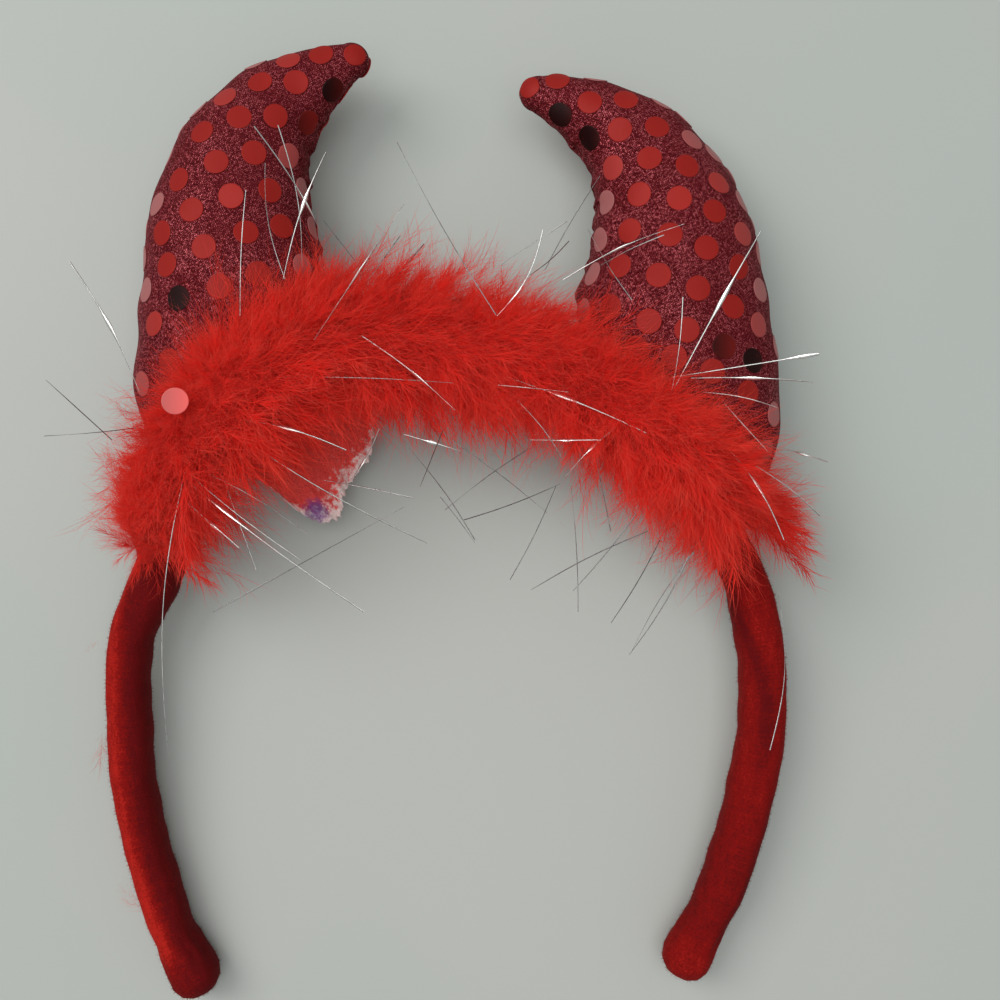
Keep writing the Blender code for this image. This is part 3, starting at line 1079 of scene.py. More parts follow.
@dataclass(frozen=True)
class SequinFinish:
    """Flat red film dots. A tone is dark at 0, a painted dark reflection, bright at 1, pale from there to
    1.4, a painted pale reflection, and lit at 2, a painted highlight.
    """

    dark: Colour = (0.012, 0.001, 0.001)
    body: Colour = (0.27, 0.012, 0.009)
    bright: Colour = (0.33, 0.019, 0.015)
    pale: Colour = (0.36, 0.15, 0.15)
    lit: Colour = (0.90, 0.15, 0.14)

    def material(self) -> Material:
        """Builds the material."""
        f = Finish("red_sequin_film")
        # the dark colour is a painted dark reflection, the pale one a painted pale reflection, and the lit
        # one a painted highlight
        tone = f.attribute("tone")
        place = f.object_place()
        scuff = f.noise(place, 1.1, 4.0)
        # side paints a faint shade across each dot, darker on one side and lighter on the other
        side = f.attribute("side")
        low = f.mix((tone + side * 0.05).rise(0.0, 0.3), self.dark, self.body)
        colour = f.mix((tone + side * 0.12).rise(0.6, 1.0), low, self.bright)
        colour = f.mix(scuff.rise(0.6, 0.85) * 0.12, colour, self.bright)
        colour = f.mix(tone.rise(1.0, 1.4) * 0.75, colour, self.pale)
        colour = f.mix(tone.rise(1.6, 2.0) * (side * 0.3 + 0.7), colour, self.lit)
        return f.done(
            f.surface(
                Base_Color=colour,
                Metallic=0.1,
                Roughness=scuff * 0.1 + 0.45,
                Specular_IOR_Level=0.12,
                Sheen_Weight=0.17,
                Sheen_Roughness=0.2,
                Sheen_Tint=(1.0, 0.82, 0.82, 1.0),
            )
        )


@dataclass(frozen=True)
class DownFinish:
    """Marabou down: darker at the root, as painted shade far inside the down, bright in the middle, paler at
    the thin tips.
    """

    # root: painted shade far inside the down
    root: Colour = (0.60, 0.011, 0.008)
    body: Colour = (0.92, 0.042, 0.026)
    bright: Colour = (0.97, 0.14, 0.085)
    tip: Colour = (0.92, 0.13, 0.095)
    through: float = 0.5

    def material(self) -> Material:
        """Builds the material."""
        f = Finish("red_down")
        tone = f.attribute("tone")
        tip = f.attribute("tip")
        # darker towards the root of each barb, painted shade far inside the down
        low = f.mix(tip.rise(0.0, 0.5), self.root, self.body)
        low = f.mix((1.0 - tone.rise(0.0, 0.4)) * 0.6, low, self.root)
        colour = f.mix(tip.rise(0.6, 1.0) * 0.7, low, self.tip)
        colour = f.mix(tone.rise(0.5, 1.0) * 0.5, colour, self.bright)
        solid = f.surface(
            Base_Color=colour,
            Roughness=0.8,
            Specular_IOR_Level=0.2,
            Sheen_Weight=0.2,
            Sheen_Roughness=0.5,
            Sheen_Tint=(1.0, 0.5, 0.45, 1.0),
        )
        glow = f.wire("ShaderNodeBsdfTranslucent", 0, None, {"Color": colour})
        return f.done(f.wire("ShaderNodeMixShader", 0, None, {0: self.through, 1: solid, 2: glow}))


@dataclass(frozen=True)
class TinselFinish:
    """Narrow bright film, each strand with a painted tone of its own, from a painted dark reflection to a
    painted bright one, and brighter at its painted highlight.
    """

    dark: Colour = (0.16, 0.155, 0.155)
    body: Colour = (0.90, 0.88, 0.86)

    def material(self) -> Material:
        """Builds the material."""
        f = Finish("silver_tinsel")
        streak = f.noise(f.object_place(), 2.0, 3.0)
        tone = f.attribute("tone")
        # the tone paints dark and bright reflections and highlights into the film's colour
        return f.done(
            f.surface(
                Base_Color=f.mix((tone + (streak - 0.5) * 0.4).rise(0.0, 1.0), self.dark, self.body),
                Metallic=0.9,
                Roughness=streak * 0.15 + 0.2,
            )
        )


@dataclass(frozen=True)
class HemFinish:
    """Thin red knit whose edge is pale with dried glue, with one violet spot, a painted reflection."""

    knit: Colour = (0.74, 0.052, 0.042)
    glue: Colour = (0.78, 0.60, 0.58)
    shadow: Colour = (0.30, 0.012, 0.012)
    violet: Colour = (0.13, 0.055, 0.26)
    # place and size of the painted violet reflection
    violet_reflection: tuple[float, float] = (0.0, 0.0)
    violet_reflection_radius: float = 3.4

    def material(self) -> Material:
        """Builds the material."""
        f = Finish("hem_knit")
        place = f.object_place()
        edge = f.attribute("edge")
        x, y, _ = f.parts(place)
        mottle = f.noise(place, 1.3, 4.0)
        fine = f.noise(place, 0.35, 3.0)
        pale = (edge * 1.1 + (mottle - 0.5) * 1.5 + (fine - 0.5) * 0.6).rise(0.42, 0.95)
        cloth = f.mix(fine.rise(0.35, 0.7) * 0.5, self.knit, self.shadow)
        colour = f.mix(pale, cloth, self.glue)
        # a round violet spot about one point, a painted reflection
        dx = x - self.violet_reflection[0] / MM
        dy = y - self.violet_reflection[1] / MM
        away = (dx * dx + dy * dy) ** 0.5 + (mottle - 0.5) * 5.0 + (fine - 0.5) * 2.0
        violet = 1.0 - away.rise(self.violet_reflection_radius * 0.25, self.violet_reflection_radius)
        colour = f.mix(violet * 0.8, colour, self.violet)
        return f.done(
            f.surface(
                Base_Color=colour,
                Roughness=0.75 - pale * 0.35,
                Specular_IOR_Level=0.4,
                Normal=f.bump(fine * 0.6 + mottle * 0.4, 0.45 * MM, 1.0),
            )
        )


@dataclass(frozen=True)
class FloorFinish:
    """Plain pale laminate."""

    body: Colour = (0.374, 0.400, 0.377)
    warm: Colour = (0.402, 0.408, 0.389)

    def material(self) -> Material:
        """Builds the material."""
        f = Finish("pale_floor")
        place = f.object_place()
        cloud = f.noise(place, 160.0, 2.0)
        fine = f.noise(place, 0.8, 3.0)
        colour = f.mix(cloud.rise(0.35, 0.65), self.body, self.warm)
        return f.done(
            f.surface(Base_Color=colour, Roughness=0.55, Normal=f.bump(fine, 0.02 * MM, 0.3))
        )


# Pieces


@dataclass
class VelvetBand:
    """The padded band with its ball ends, and the pile that stands on it.

    Attributes:
        tuck_drop: where an arm's tuck is measured, below the arch's centre.
        crown_lift, ball_lift: height of the band's middle at the crown and at the balls.
        squareness: power of the section, 2 for an ellipse.
        girth: the way round the section.
        swell, swell_in, swell_out: height of the bunched velvet on the left arm, and where
            it comes and goes along the band.
        pile_density: short fibres to a square metre.
        fibre, fibre_radius, fibre_lean: length, radius and lean of a fibre.
    """

    tuck_drop: float = 60.0 * MM
    crown_lift: float = 16.0 * MM
    ball_lift: float = 6.0 * MM
    squareness: float = 2.5
    rings: int = 430
    sides: int = 48
    girth: float = 32.0 * MM
    swell: float = 2.4 * MM
    swell_in: tuple[float, float] = (77.0 * MM, 91.0 * MM)
    swell_out: tuple[float, float] = (104.0 * MM, 114.0 * MM)
    pile_density: float = 1.4e6
    fibre: float = 0.62 * MM
    fibre_radius: float = 0.05 * MM
    fibre_lean: float = 0.55
    seed: int = 3

    def lift(self, along: np.ndarray) -> np.ndarray:
        """Height of the band's middle at places along the drawing's Y."""
        foot = ARCH_ALONG - self.tuck_drop
        share = (along - foot) / (ARCH_ALONG + ARCH_RADIUS - foot)
        return self.ball_lift + (self.crown_lift - self.ball_lift) * share

    def path(self) -> np.ndarray:
        """The middle of the band from the left ball's tip to the right ball's tip."""
        ball = BALL_END[4].back * MM
        arms = []
        for side, hand in ((Side.LEFT, -1.0), (Side.RIGHT, 1.0)):
            arm = ARMS[side]
            down = np.linspace(0.0, 1.0, 80)[1:] * arm.drop * MM
            away = hand * (ARCH_RADIUS - arm.tuck * MM * (down / self.tuck_drop) ** arm.power)
            line = np.stack((away, ARCH_ALONG - down, self.lift(ARCH_ALONG - down)), 1)
            ahead = unit(line[-1] - line[-2]) * ball
            arms.append(np.concatenate((line, [line[-1] + ahead])))
        turn = np.radians(np.linspace(-90.0, 90.0, 181))
        along = ARCH_ALONG + ARCH_RADIUS * np.cos(turn)
        arch = np.stack((ARCH_RADIUS * np.sin(turn), along, self.lift(along)), 1)
        return np.concatenate((arms[0][::-1], arch, arms[1])) + SHIFT

    def stations(self) -> np.ndarray:
        """Distances of the rings along the band, closer together at both tips."""
        total = lengths_along(self.path())[-1]
        ends = BALL_END[3].back * MM
        near = ends * (1.0 - np.cos(np.linspace(0.03, math.pi / 2.0, 14)))
        middle = np.linspace(ends, total - ends, self.rings)[1:-1]
        return np.concatenate((near, middle, total - near[::-1]))

    def mesh(self) -> Mesh:
        """Builds the covered band."""
        path = self.path()
        run = lengths_along(path)
        wanted = self.stations()
        middle = np.stack([np.interp(wanted, run, column) for column in path.T], axis=1)
        along = unit(np.gradient(middle, axis=0))
        across = unit(np.cross(along, UP))
        upright = np.cross(across, along)
        back = np.minimum(wanted, run[-1] - wanted) / MM
        table = np.array(BALL_END)
        fuller = np.where(middle[:, 0] < SHIFT[0], ARMS[Side.LEFT].fuller, ARMS[Side.RIGHT].fuller)
        drawn = (middle[:, 1] - SHIFT[1]) / MM
        fuller = fuller * smooth(10.0, 24.0, back) * (1.0 - smooth(-34.0, 0.0, drawn))
        thick = (np.interp(back, table[:, 0], table[:, 1]) + fuller) * MM / 2.0
        wide = np.interp(back, table[:, 0], table[:, 2]) * MM / 2.0
        turn = np.linspace(0.0, TURN, self.sides, endpoint=False)
        power = 2.0 / self.squareness
        draws = np.random.default_rng(self.seed)
        lumps = self.lumps(wanted, turn, back, draws)
        out = signed_power(np.cos(turn), power)[None, :] * (thick[:, None] + lumps)
        rise = signed_power(np.sin(turn), power)[None, :] * (wide[:, None] + lumps)
        points = middle[:, None] + across[:, None] * out[..., None] + upright[:, None] * rise[..., None]
        points[..., 2] = np.maximum(points[..., 2], FLOOR_GAP)
        around = np.linspace(0.0, 1.0, self.sides + 1) * self.girth
        flat = np.stack(np.broadcast_arrays(wanted[:, None], around[None, :]), -1)
        mesh = skin_rings("velvet_band_cover", points, flat)
        # painted light and shade for each point, for the velvet's colour
        nap = self.nap(middle, back, -np.cos(turn))
        add_attribute(mesh, "nap", np.concatenate((nap.ravel(), [nap[0].mean(), nap[-1].mean()])))
        return mesh

    def nap(self, middle: np.ndarray, back: np.ndarray, outward: np.ndarray) -> np.ndarray:
        """Painted light and shade on the pile: 0 is dark, in painted shade, and 1 is bright, in painted
        light.

        Args:
            middle: the middle of each ring.
            back: millimetres from the nearer tip.
            outward: for each side, 1 on the outside of the arch and -1 on its inside.

        Returns:
            The painted light and shade for each ring and side.
        """
        along = ((middle[:, 1] - SHIFT[1]) / MM)[:, None]
        left = (middle[:, 0] < SHIFT[0])[:, None]
        out = outward[None, :]

        # The left arm is painted lit outside of an edge that wanders, and painted in shade inside of it
        edge = 0.02 + 0.30 * smooth(-34.0, -18.0, along)
        bright_left = 0.12 + (0.72 + 0.14 * smooth(-58.0, -85.0, along)) * smooth(-0.32, 0.30, out - edge)

        # The right arm is painted lit, with the painted shadow of a fold that crosses it from the inside,
        # painted shade on its outer side, and darker towards its lower end
        fold = -0.85 + 0.85 * smooth(-18.0, -44.0, along)
        strength = smooth(-62.0, -46.0, along) * 0.5
        dark_right = strength * np.exp(-(((out - fold) / 0.30) ** 2))
        shade = 0.22 * smooth(0.35, 0.95, out) * smooth(-45.0, -75.0, along)
        bright_right = 0.60 - dark_right - shade - 0.22 * smooth(-50.0, -80.0, along)

        # Each ball end has a painted tone of its own, the left one painted lit outside and in shade inside
        ball = (1.0 - smooth(6.0, 14.0, back))[:, None]
        nap = np.where(left, bright_left, bright_right)
        return nap * (1.0 - ball) + (0.20 + 0.30 * left * out + 0.42 * ~left) * ball

    def lumps(
        self, run: np.ndarray, turn: np.ndarray, back: np.ndarray, draws: np.random.Generator
    ) -> np.ndarray:
        """Small swellings of the padding and the gathers at the necks of the balls.

        Args:
            run: distance of each ring along the band.
            turn: angle of each side.
            back: millimetres from the nearer tip.
            draws: the random numbers.

        Returns:
            Added radius for each ring and side.
        """
        total = np.zeros((len(run), len(turn)))
        for pitch, size in BAND_SWELLS:
            for turns in (0, 1, 2):
                phase, roll = draws.uniform(0.0, TURN, 2)
                wave = np.sin(run[:, None] * TURN / (pitch * MM) + phase)
                total += size * MM * wave * np.cos(turns * turn[None, :] + roll) / 1.7
        neck = np.exp(-(((back - 10.5) / 3.2) ** 2))[:, None]
        total += self.bulge(run)[:, None] * (0.25 + 0.75 * np.cos(turn))[None, :]
        folds = np.cos(9.0 * turn[None, :] + 0.8 * np.sin(back[:, None] * 0.8))
        body = smooth(3.0, 8.0, back)[:, None]
        return total * body + neck * folds * 0.22 * MM

    def bulge(self, run: np.ndarray) -> np.ndarray:
        """How far the left arm swells inwards, where its velvet is bunched up below the trim."""
        return self.swell * smooth(*self.swell_in, run) * (1.0 - smooth(*self.swell_out, run))

    def pile(self, cover: Object, material: Material) -> Object:
        """Stands short fibres on the cover, for the soft edge of velvet.

        Args:
            cover: the covered band.
            material: the velvet.

        Returns:
            The fibres as one plain mesh.
        """
        host = new_piece("velvet_pile", cover.data.copy())
        r = Recipe(
            "pile_recipe",
            {
                "Density": ("NodeSocketFloat", self.pile_density),
                "Length": ("NodeSocketFloat", self.fibre),
                "Seed": ("NodeSocketInt", self.seed),
            },
        )
        scattered = r.node(
            "GeometryNodeDistributePointsOnFaces",
            None,
            {"Mesh": r.given(), "Density": r.given("Density"), "Seed": r.given("Seed")},
        )
        aim = r.vector("ADD", Wire(r, scattered.outputs["Normal"]), r.wander(self.fibre_lean, 5))
        turned = r.rolled(r.facing(aim), r.chance(0.0, TURN, 0))
        inputs = {
            "Vertices": 3,
            "Radius Top": 0.0,
            "Radius Bottom": self.fibre_radius,
            "Depth": r.given("Length"),
        }
        blade = r.wire("GeometryNodeMeshCone", "Mesh", {"fill_type": "NONE"}, inputs)
        inputs = {
            "Points": Wire(r, scattered.outputs["Points"]),
            "Instance": blade,
            "Rotation": turned,
            "Scale": r.chance(0.5, 1.15, 9),
        }
        copies = r.wire("GeometryNodeInstanceOnPoints", 0, None, inputs)
        return r.bake(host, r.floored(r.realized(copies)), material)

    def build(self, finish: VelvetFinish) -> list[Object]:
        """Builds and dresses the band.

        Args:
            finish: the velvet.

        Returns:
            The cover and its pile.
        """
        material = finish.material()
        cover = new_piece("velvet_band_cover", self.mesh())
        cover.data.materials.append(material)
        pile = self.pile(cover, material)
        for piece in (cover, pile):
            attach(piece, BODY)
        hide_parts("velvet_band")
        return [cover, pile]


@dataclass
class StuffedHorn:
    """A stuffed horn of two cut panels, with a seam along its outer and inner edge.

    Attributes:
        side: which horn it is.
        squareness: power of the section, 2 for an ellipse.
        seam_depth: how far the seams pull in.
        crimp: height of the small gathers along the inner seam.
        crimp_in, crimp_out, crimp_pitches: where along the horn the gathers come and go, and
            how far apart they are.
        lump: size of the swellings of the stuffing.
        root_depth: how far up the horn its root is pushed off the band.
        band_gap: room between the root and the band.
        step_down: heights over and under the band's middle where the root steps over it.
    """

    side: Side
    rings: int = 190
    sides: int = 120
    squareness: float = 2.15
    seam_depth: float = 0.55 * MM
    crimp: float = 0.26 * MM
    crimp_in: tuple[float, float] = (18.0 * MM, 40.0 * MM)
    crimp_out: tuple[float, float] = (78.0 * MM, 96.0 * MM)
    crimp_pitches: tuple[float, float] = (6.2 * MM, 3.7 * MM)
    lump: float = 0.5 * MM
    root_depth: float = 8.0 * MM
    band_gap: float = 0.4 * MM
    step_down: tuple[float, float] = (5.6 * MM, 7.4 * MM)

    def rows(self) -> np.ndarray:
        """Sections of the horn from its root to the rounded tip, in metres and radians."""
        table = HORNS[self.side]
        rows = read_table(table, np.linspace(0.0, len(table) - 1.0, self.rings))
        last = rows[-1]
        lean = math.radians(last[3])
        caps = []
        for turn in np.radians(np.linspace(6.0, 84.0, 14)):
            ahead = last[4] * math.sin(turn)
            cap = last.copy()
            cap[0] += ahead * math.sin(lean)
            cap[1] += ahead * math.cos(lean)
            cap[4:] *= math.cos(turn)
            caps.append(cap)
        rows = np.concatenate((rows, caps))
        rows[:, 3] = np.radians(rows[:, 3])
        rows[:, (0, 1, 2, 4, 5)] *= MM
        return rows

    def swelling(self, run: np.ndarray, turn: np.ndarray) -> np.ndarray:
        """Added radius from stuffing, seams and crimps, for each ring and side."""
        inner = math.pi if self.side is Side.RIGHT else 0.0
        total = np.zeros((len(run), len(turn)))
        draws = np.random.default_rng(11 if self.side is Side.LEFT else 12)
        for pitch, turns in HORN_WAVES:
            phase, roll = draws.uniform(0.0, TURN, 2)
            wave = np.sin(run[:, None] * TURN / (pitch * MM) + phase)
            total += self.lump / 2.6 * wave * np.cos(turns * turn[None, :] + roll)
        for seam in (0.0, math.pi):
            away = np.abs((turn - seam + math.pi) % TURN - math.pi)
            total -= self.seam_depth * np.exp(-((away / 0.055) ** 2))[None, :]
        away = np.abs((turn - inner + math.pi) % TURN - math.pi)
        strong = smooth(*self.crimp_in, run) * (1.0 - smooth(*self.crimp_out, run))
        long, short = (run * TURN / pitch for pitch in self.crimp_pitches)
        ripple = np.sin(long) + 0.5 * np.sin(short + 1.0)
        total += self.crimp * (strong * ripple)[:, None] * np.exp(-((away / 0.42) ** 2))[None, :]
        fade = 1.0 - smooth(run[-1] - 7.0 * MM, run[-1] - 1.0 * MM, run)
        return total * fade[:, None]

    def skin(self) -> tuple[np.ndarray, np.ndarray]:
        """Points of the horn's surface and their place on the flat cloth.

        Returns:
            Points as (ring, side, 3), and cloth places as (ring, side + 1, 2).
        """
        rows = self.rows()
        middle = rows[:, :3] + SHIFT
        run = lengths_along(middle)
        lean = rows[:, 3]
        across = np.stack((np.cos(lean), -np.sin(lean), np.zeros_like(lean)), 1)
        turn = np.linspace(0.0, TURN, self.sides, endpoint=False)
        power = 2.0 / self.squareness
        swell = self.swelling(run, turn)
        out = signed_power(np.cos(turn), power)[None, :] * (rows[:, 4:5] + swell)
        rise = signed_power(np.sin(turn), power)[None, :] * (rows[:, 5:6] + swell)
        points = middle[:, None] + across[:, None] * out[..., None] + UP * rise[..., None]
        arc = np.concatenate((out, out[:, :1]), 1)
        height = np.concatenate((rise, rise[:, :1]), 1)
        steps = np.hypot(np.diff(arc, axis=1), np.diff(height, axis=1))
        walk = np.concatenate((np.zeros((len(run), 1)), np.cumsum(steps, 1)), 1)
        quarter = walk[:, self.sides // 4 : self.sides // 4 + 1]
        girth = walk[:, -1:]
        front = quarter - walk
        below = walk - (girth - quarter)
        half = np.arange(self.sides + 1)[None, :] <= self.sides // 2
        offset = np.where(half, front, below)
        cloth = middle[:, None, :2] + across[:, None, :2] * offset[..., None]
        points = self.seat_root(points, run)
        points[..., 2] = np.maximum(points[..., 2], FLOOR_GAP)
        return points, cloth

    def seat_root(self, points: np.ndarray, run: np.ndarray) -> np.ndarray:
        """Fits the root over the band: it stops at the band's middle and steps over the band.

        Args:
            points: points of the horn.
            run: distance of each ring along the horn.

        Returns:
            The fitted points.
        """
        plan = points[..., :2] - ARCH_CENTRE[:2]
        radius = np.linalg.norm(plan, axis=-1)
        height = VelvetBand().lift(points[..., 1] - SHIFT[1])
        over = 1.0 - smooth(*self.step_down, np.abs(points[..., 2] - height))
        wall = ARCH_RADIUS + over * (BAND_THICK / 2.0 + self.band_gap)
        push = np.maximum(wall[:1] - radius[:1], 0.0) + 0.0 * radius
        fade = 1.0 - smooth(0.0, self.root_depth * 1.6, run)[:, None]
        wanted = np.maximum(radius + push * fade, np.where(radius < wall, wall, radius) * (fade > 0.0))
        return np.concatenate((ARCH_CENTRE[:2] + plan * (wanted / radius)[..., None], points[..., 2:]), -1)

    def build(self, finish: KnitFinish) -> Object:
        """Builds and dresses the horn.

        Args:
            finish: the knit.

        Returns:
            The horn.
        """
        points, cloth = self.skin()
        mesh = skin_rings(f"horn_{self.side.value}_cover", points, cloth)
        mesh.materials.append(finish.material())
        piece = new_piece(mesh.name, mesh)
        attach(piece, BODY)
        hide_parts(f"horn_{self.side.value}")
        return piece


class Dot(NamedTuple):
    """A film dot: its middle, the way it faces, its tone, and how closely it clings."""

    middle: np.ndarray
    aim: np.ndarray
    tone: float
    cling: float


@dataclass
class Sequins:
    """Flat film dots on the two panels of a horn, on the lattice of its cloth.

    Attributes:
        horn: the horn that carries them.
        first: photograph pixels of one dot's middle.
        row, column: lattice steps on the cloth.
        bow: how fast the rows fall away from the first dot, per metre.
        dark: photograph pixels of the dots that mirror the dark, painted dark as a painted reflection, and
            their tone.
        loose: photograph pixels of a dot that lies on the down.
        loose_lift, loose_aim, loose_tone: its height, the way it faces, and its tone, which paints a
            highlight on it.
        lift: height that the other pixels are read at.
        apart: least distance from a dot of the lattice to a measured one, on the cloth.
        room: least distance from a dot of the lattice to any other, in radii.
        near: how close to the cloth of the horn a place of the lattice has to be.
        jitter: how far the dots of the lattice stray.
        film_gap: room between the cloth and a dot.
        cling: how closely a dot follows the cloth, 1 where it lies on it all over.
        edge_aim: upward part of its aim below which a dot is painted pale, a painted reflection.
        tilt: how far a dot leans at random.
        reach: lattice steps to either side of the first dot.
    """

    horn: StuffedHorn
    first: tuple[float, float]
    row: tuple[float, float]
    column: tuple[float, float]
    bow: float
    dark: tuple[tuple[float, float, float], ...]
    loose: tuple[tuple[float, float], ...] = ()
    radius: float = 2.55 * MM
    thick: float = 0.14 * MM
    rim: int = 22
    lift: float = 29.0 * MM
    loose_lift: float = 43.0 * MM
    loose_aim: tuple[float, float, float] = (0.35, -0.25, 1.0)
    # tone 2 paints a highlight on the loose dot
    loose_tone: float = 2.0
    apart: float = 5.6 * MM
    room: float = 2.1
    near: float = 0.45 * MM
    jitter: float = 0.10 * MM
    film_gap: float = 0.05 * MM
    cling: float = 0.75
    edge_aim: float = 0.8
    tilt: float = 0.04
    reach: int = 16
    seed: int = 5

    def dot_mesh(self) -> Mesh:
        """One flat film dot with a rounded rim, its top at the height of its film."""
        profile = ((0.55, 1.0), (0.92, 1.0), (0.98, 1.0), (1.0, 0.5), (0.98, -0.4))
        points = [(0.0, 0.0, self.thick)]
        for share, height in profile:
            for k in range(self.rim):
                turn = TURN * k / self.rim
                x, y = math.cos(turn) * share, math.sin(turn) * share
                points.append((x * self.radius, y * self.radius, height * self.thick))
        points.append((0.0, 0.0, -0.4 * self.thick))
        faces = []
        last = 1 + (len(profile) - 1) * self.rim
        for k in range(self.rim):
            n = (k + 1) % self.rim
            faces.append((0, 1 + k, 1 + n))
            for ring in range(len(profile) - 1):
                base = 1 + ring * self.rim
                faces.append((base + k, base + self.rim + k, base + self.rim + n, base + n))
            faces.append((last + k, len(points) - 1, last + n))
        mesh = bpy.data.meshes.new("sequin_dot")
        mesh.from_pydata(points, [], faces)
        add_attribute(mesh, "film", np.array([point[2] for point in points]))
        # side, from -1 to 1 across the dot, for its painted shade
        add_attribute(mesh, "side", np.array([point[0] / self.radius for point in points]))
        return mesh

    def panel_samples(self, front: bool) -> tuple[np.ndarray, np.ndarray, np.ndarray]:
        """Places on the surface of one panel, away from its seams and the root.

        Args:
            front: True for the panel that faces up.

        Returns:
            Points, unit normals, and cloth places.
        """
        points, cloth = self.horn.skin()
        sides = self.horn.sides
        along = np.gradient(points, axis=0)
        around = np.roll(points, -1, 1) - np.roll(points, 1, 1)
        normal = unit(np.cross(around, along))
        middle = points.mean(1, keepdims=True)
        flip = np.sign(np.einsum("rsk,rsk->rs", normal, points - middle))
        normal = normal * np.where(flip == 0.0, 1.0, flip)[..., None]
        keep = np.arange(1, sides // 2) if front else np.arange(sides // 2 + 1, sides)
        picked = (slice(6, -4), keep)
        return points[picked].reshape(-1, 3), normal[picked].reshape(-1, 3), cloth[picked].reshape(-1, 2)

    def tone(self, place: np.ndarray, aim: np.ndarray, front: bool, draws: random.Random) -> float:
        """The tone of a dot.

        Args:
            place: its middle.
            aim: the way that it faces.
            front: whether it is on the panel that faces up.
            draws: the random numbers.

        Returns:
            The tone, from 0 for dark, a painted dark reflection, to 1 for bright, and up to 1.4 where it
            faces sideways, a painted pale reflection.
        """
        tone = draws.uniform(0.35, 0.70)
        lucky = draws.random()
        # listed dots get a painted dark reflection
        for px, py, dark in self.dark if front else ():
            if math.dist(place[:2], PHOTO.place(px, py, self.lift)[:2]) < self.radius * 1.3:
                return dark
        # dots that face sideways are painted pale, a painted reflection
        if front and aim[2] < self.edge_aim:
            return 1.0 + 0.4 * float(smooth(-0.85, -0.55, -aim[2]))
        # a few dots of the back panel get a painted dark reflection at random
        if lucky < 0.03 and not front:
            return 0.05
        return 0.95 if lucky > 0.95 else tone

    def lattice(self, draws: random.Random) -> Iterator[np.ndarray]:
        """Places of the lattice on the flat cloth, each drawn when it is asked for."""
        start = PHOTO.place(*self.first, self.lift)[:2]
        for a in range(-self.reach, self.reach + 1):
            for b in range(-self.reach, self.reach + 1):
                astray = np.array([draws.gauss(0.0, self.jitter) for _ in range(2)])
                step = a * np.array(self.row) + b * np.array(self.column)
                away = a * self.row[0]
                yield start + step + astray - (0.0, self.bow * away * away)

    def measured(
        self, samples: tuple[np.ndarray, np.ndarray, np.ndarray], draws: random.Random
    ) -> tuple[list[Dot], list[np.ndarray]]:
        """The dots of the upper panel whose places the photograph shows.

        Args:
            samples: points, normals and cloth places of the panel.
            draws: the random numbers.

        Returns:
            The dots, and their places on the flat cloth.
        """
        points, normal, cloth = samples
        shown = PHOTO.pixels(points)
        dots = []
        taken = []
        for pixel in DOTS[self.horn.side]:
            away = np.linalg.norm(shown - pixel, axis=1)
            near = np.argsort(away)[:4]
            share = 1.0 / (away[near] + 0.2)
            share = (share / share.sum())[:, None]
            middle = (points[near] * share).sum(0)
            aim = unit(normal[near].sum(0))
            dots.append(Dot(middle, aim, self.tone(middle, aim, True, draws), self.cling))
            taken.append((cloth[near] * share).sum(0))
        return dots, taken

    def places(self) -> list[Dot]:
        """Every dot of the horn: first those that were measured, then those of the lattice."""
        draws = random.Random(self.seed)
        found: list[Dot] = []
        for front in (True, False):
            points, normal, cloth = samples = self.panel_samples(front)
            dots, taken = self.measured(samples, draws) if front else ([], [])
            found += dots
            tree = KDTree(len(cloth))
            for k, (x, y) in enumerate(cloth):
                tree.insert((x, y, 0.0), k)
            tree.balance()
            for spot in self.lattice(draws):
                _, k, gap = tree.find((spot[0], spot[1], 0.0))
                crowded = any(math.dist(points[k], dot.middle) < self.room * self.radius for dot in found)
                crowded = crowded or any(math.dist(spot, other) < self.apart for other in taken)
                if gap < self.near and not crowded:
                    tone = self.tone(points[k], normal[k], front, draws)
                    found.append(Dot(points[k], normal[k], tone, self.cling))
            for pixel in self.loose if front else ():
                aim = unit(np.array(self.loose_aim))
                found.append(Dot(PHOTO.place(*pixel, self.loose_lift), aim, self.loose_tone, 0.0))
        return found

    def build(self, material: Material, cover: Object) -> Object:
        """Sets the dots on the horn.

        Args:
            material: the film.
            cover: the horn's cover.

        Returns:
            All the dots of the horn as one mesh.
        """
        spots, aims, tones, clings = (np.array(column) for column in zip(*self.places()))
        mesh = bpy.data.meshes.new("dots")
        mesh.from_pydata(spots.tolist(), [], [])
        add_attribute(mesh, "aim", aims)
        add_attribute(mesh, "shade", tones)
        add_attribute(mesh, "cling_wanted", clings)
        host = new_piece(f"sequins_{self.horn.side.value}", mesh)
        dot = new_piece("one_dot", self.dot_mesh())
        r = Recipe(
            "sequin_recipe",
            {
                "Dot": ("NodeSocketObject", dot),
                "Cover": ("NodeSocketObject", cover),
                "Tilt": ("NodeSocketFloat", self.tilt),
                "Seed": ("NodeSocketInt", self.seed),
            },
        )
        sway = r.scaled(r.wander(1.0, r.given("Seed")), r.given("Tilt"))
        aim = r.vector("ADD", r.named("aim", "FLOAT_VECTOR"), sway)
        inputs = {"Points": r.given(), "Instance": r.shape("Dot"), "Rotation": r.facing(aim)}
        copies = r.wire("GeometryNodeInstanceOnPoints", 0, None, inputs)
        toned = r.stored(copies, "tone", r.named("shade"), "INSTANCE")
        held = r.stored(toned, "cling", r.named("cling_wanted"), "INSTANCE")
        touch, normal, _ = r.nearest(r.shape("Cover"))
        seated = r.vector("ADD", touch, r.scaled(normal, r.named("film") + self.film_gap))
        move = r.scaled(r.vector("SUBTRACT", seated, r.position()), r.named("cling"))
        inputs = {"Geometry": r.realized(held), "Offset": move}
        laid = r.wire("GeometryNodeSetPosition", 0, None, inputs)
        piece = r.bake(host, r.floored(laid), material)
        bpy.data.objects.remove(dot)
        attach(piece, BODY)
        return piece


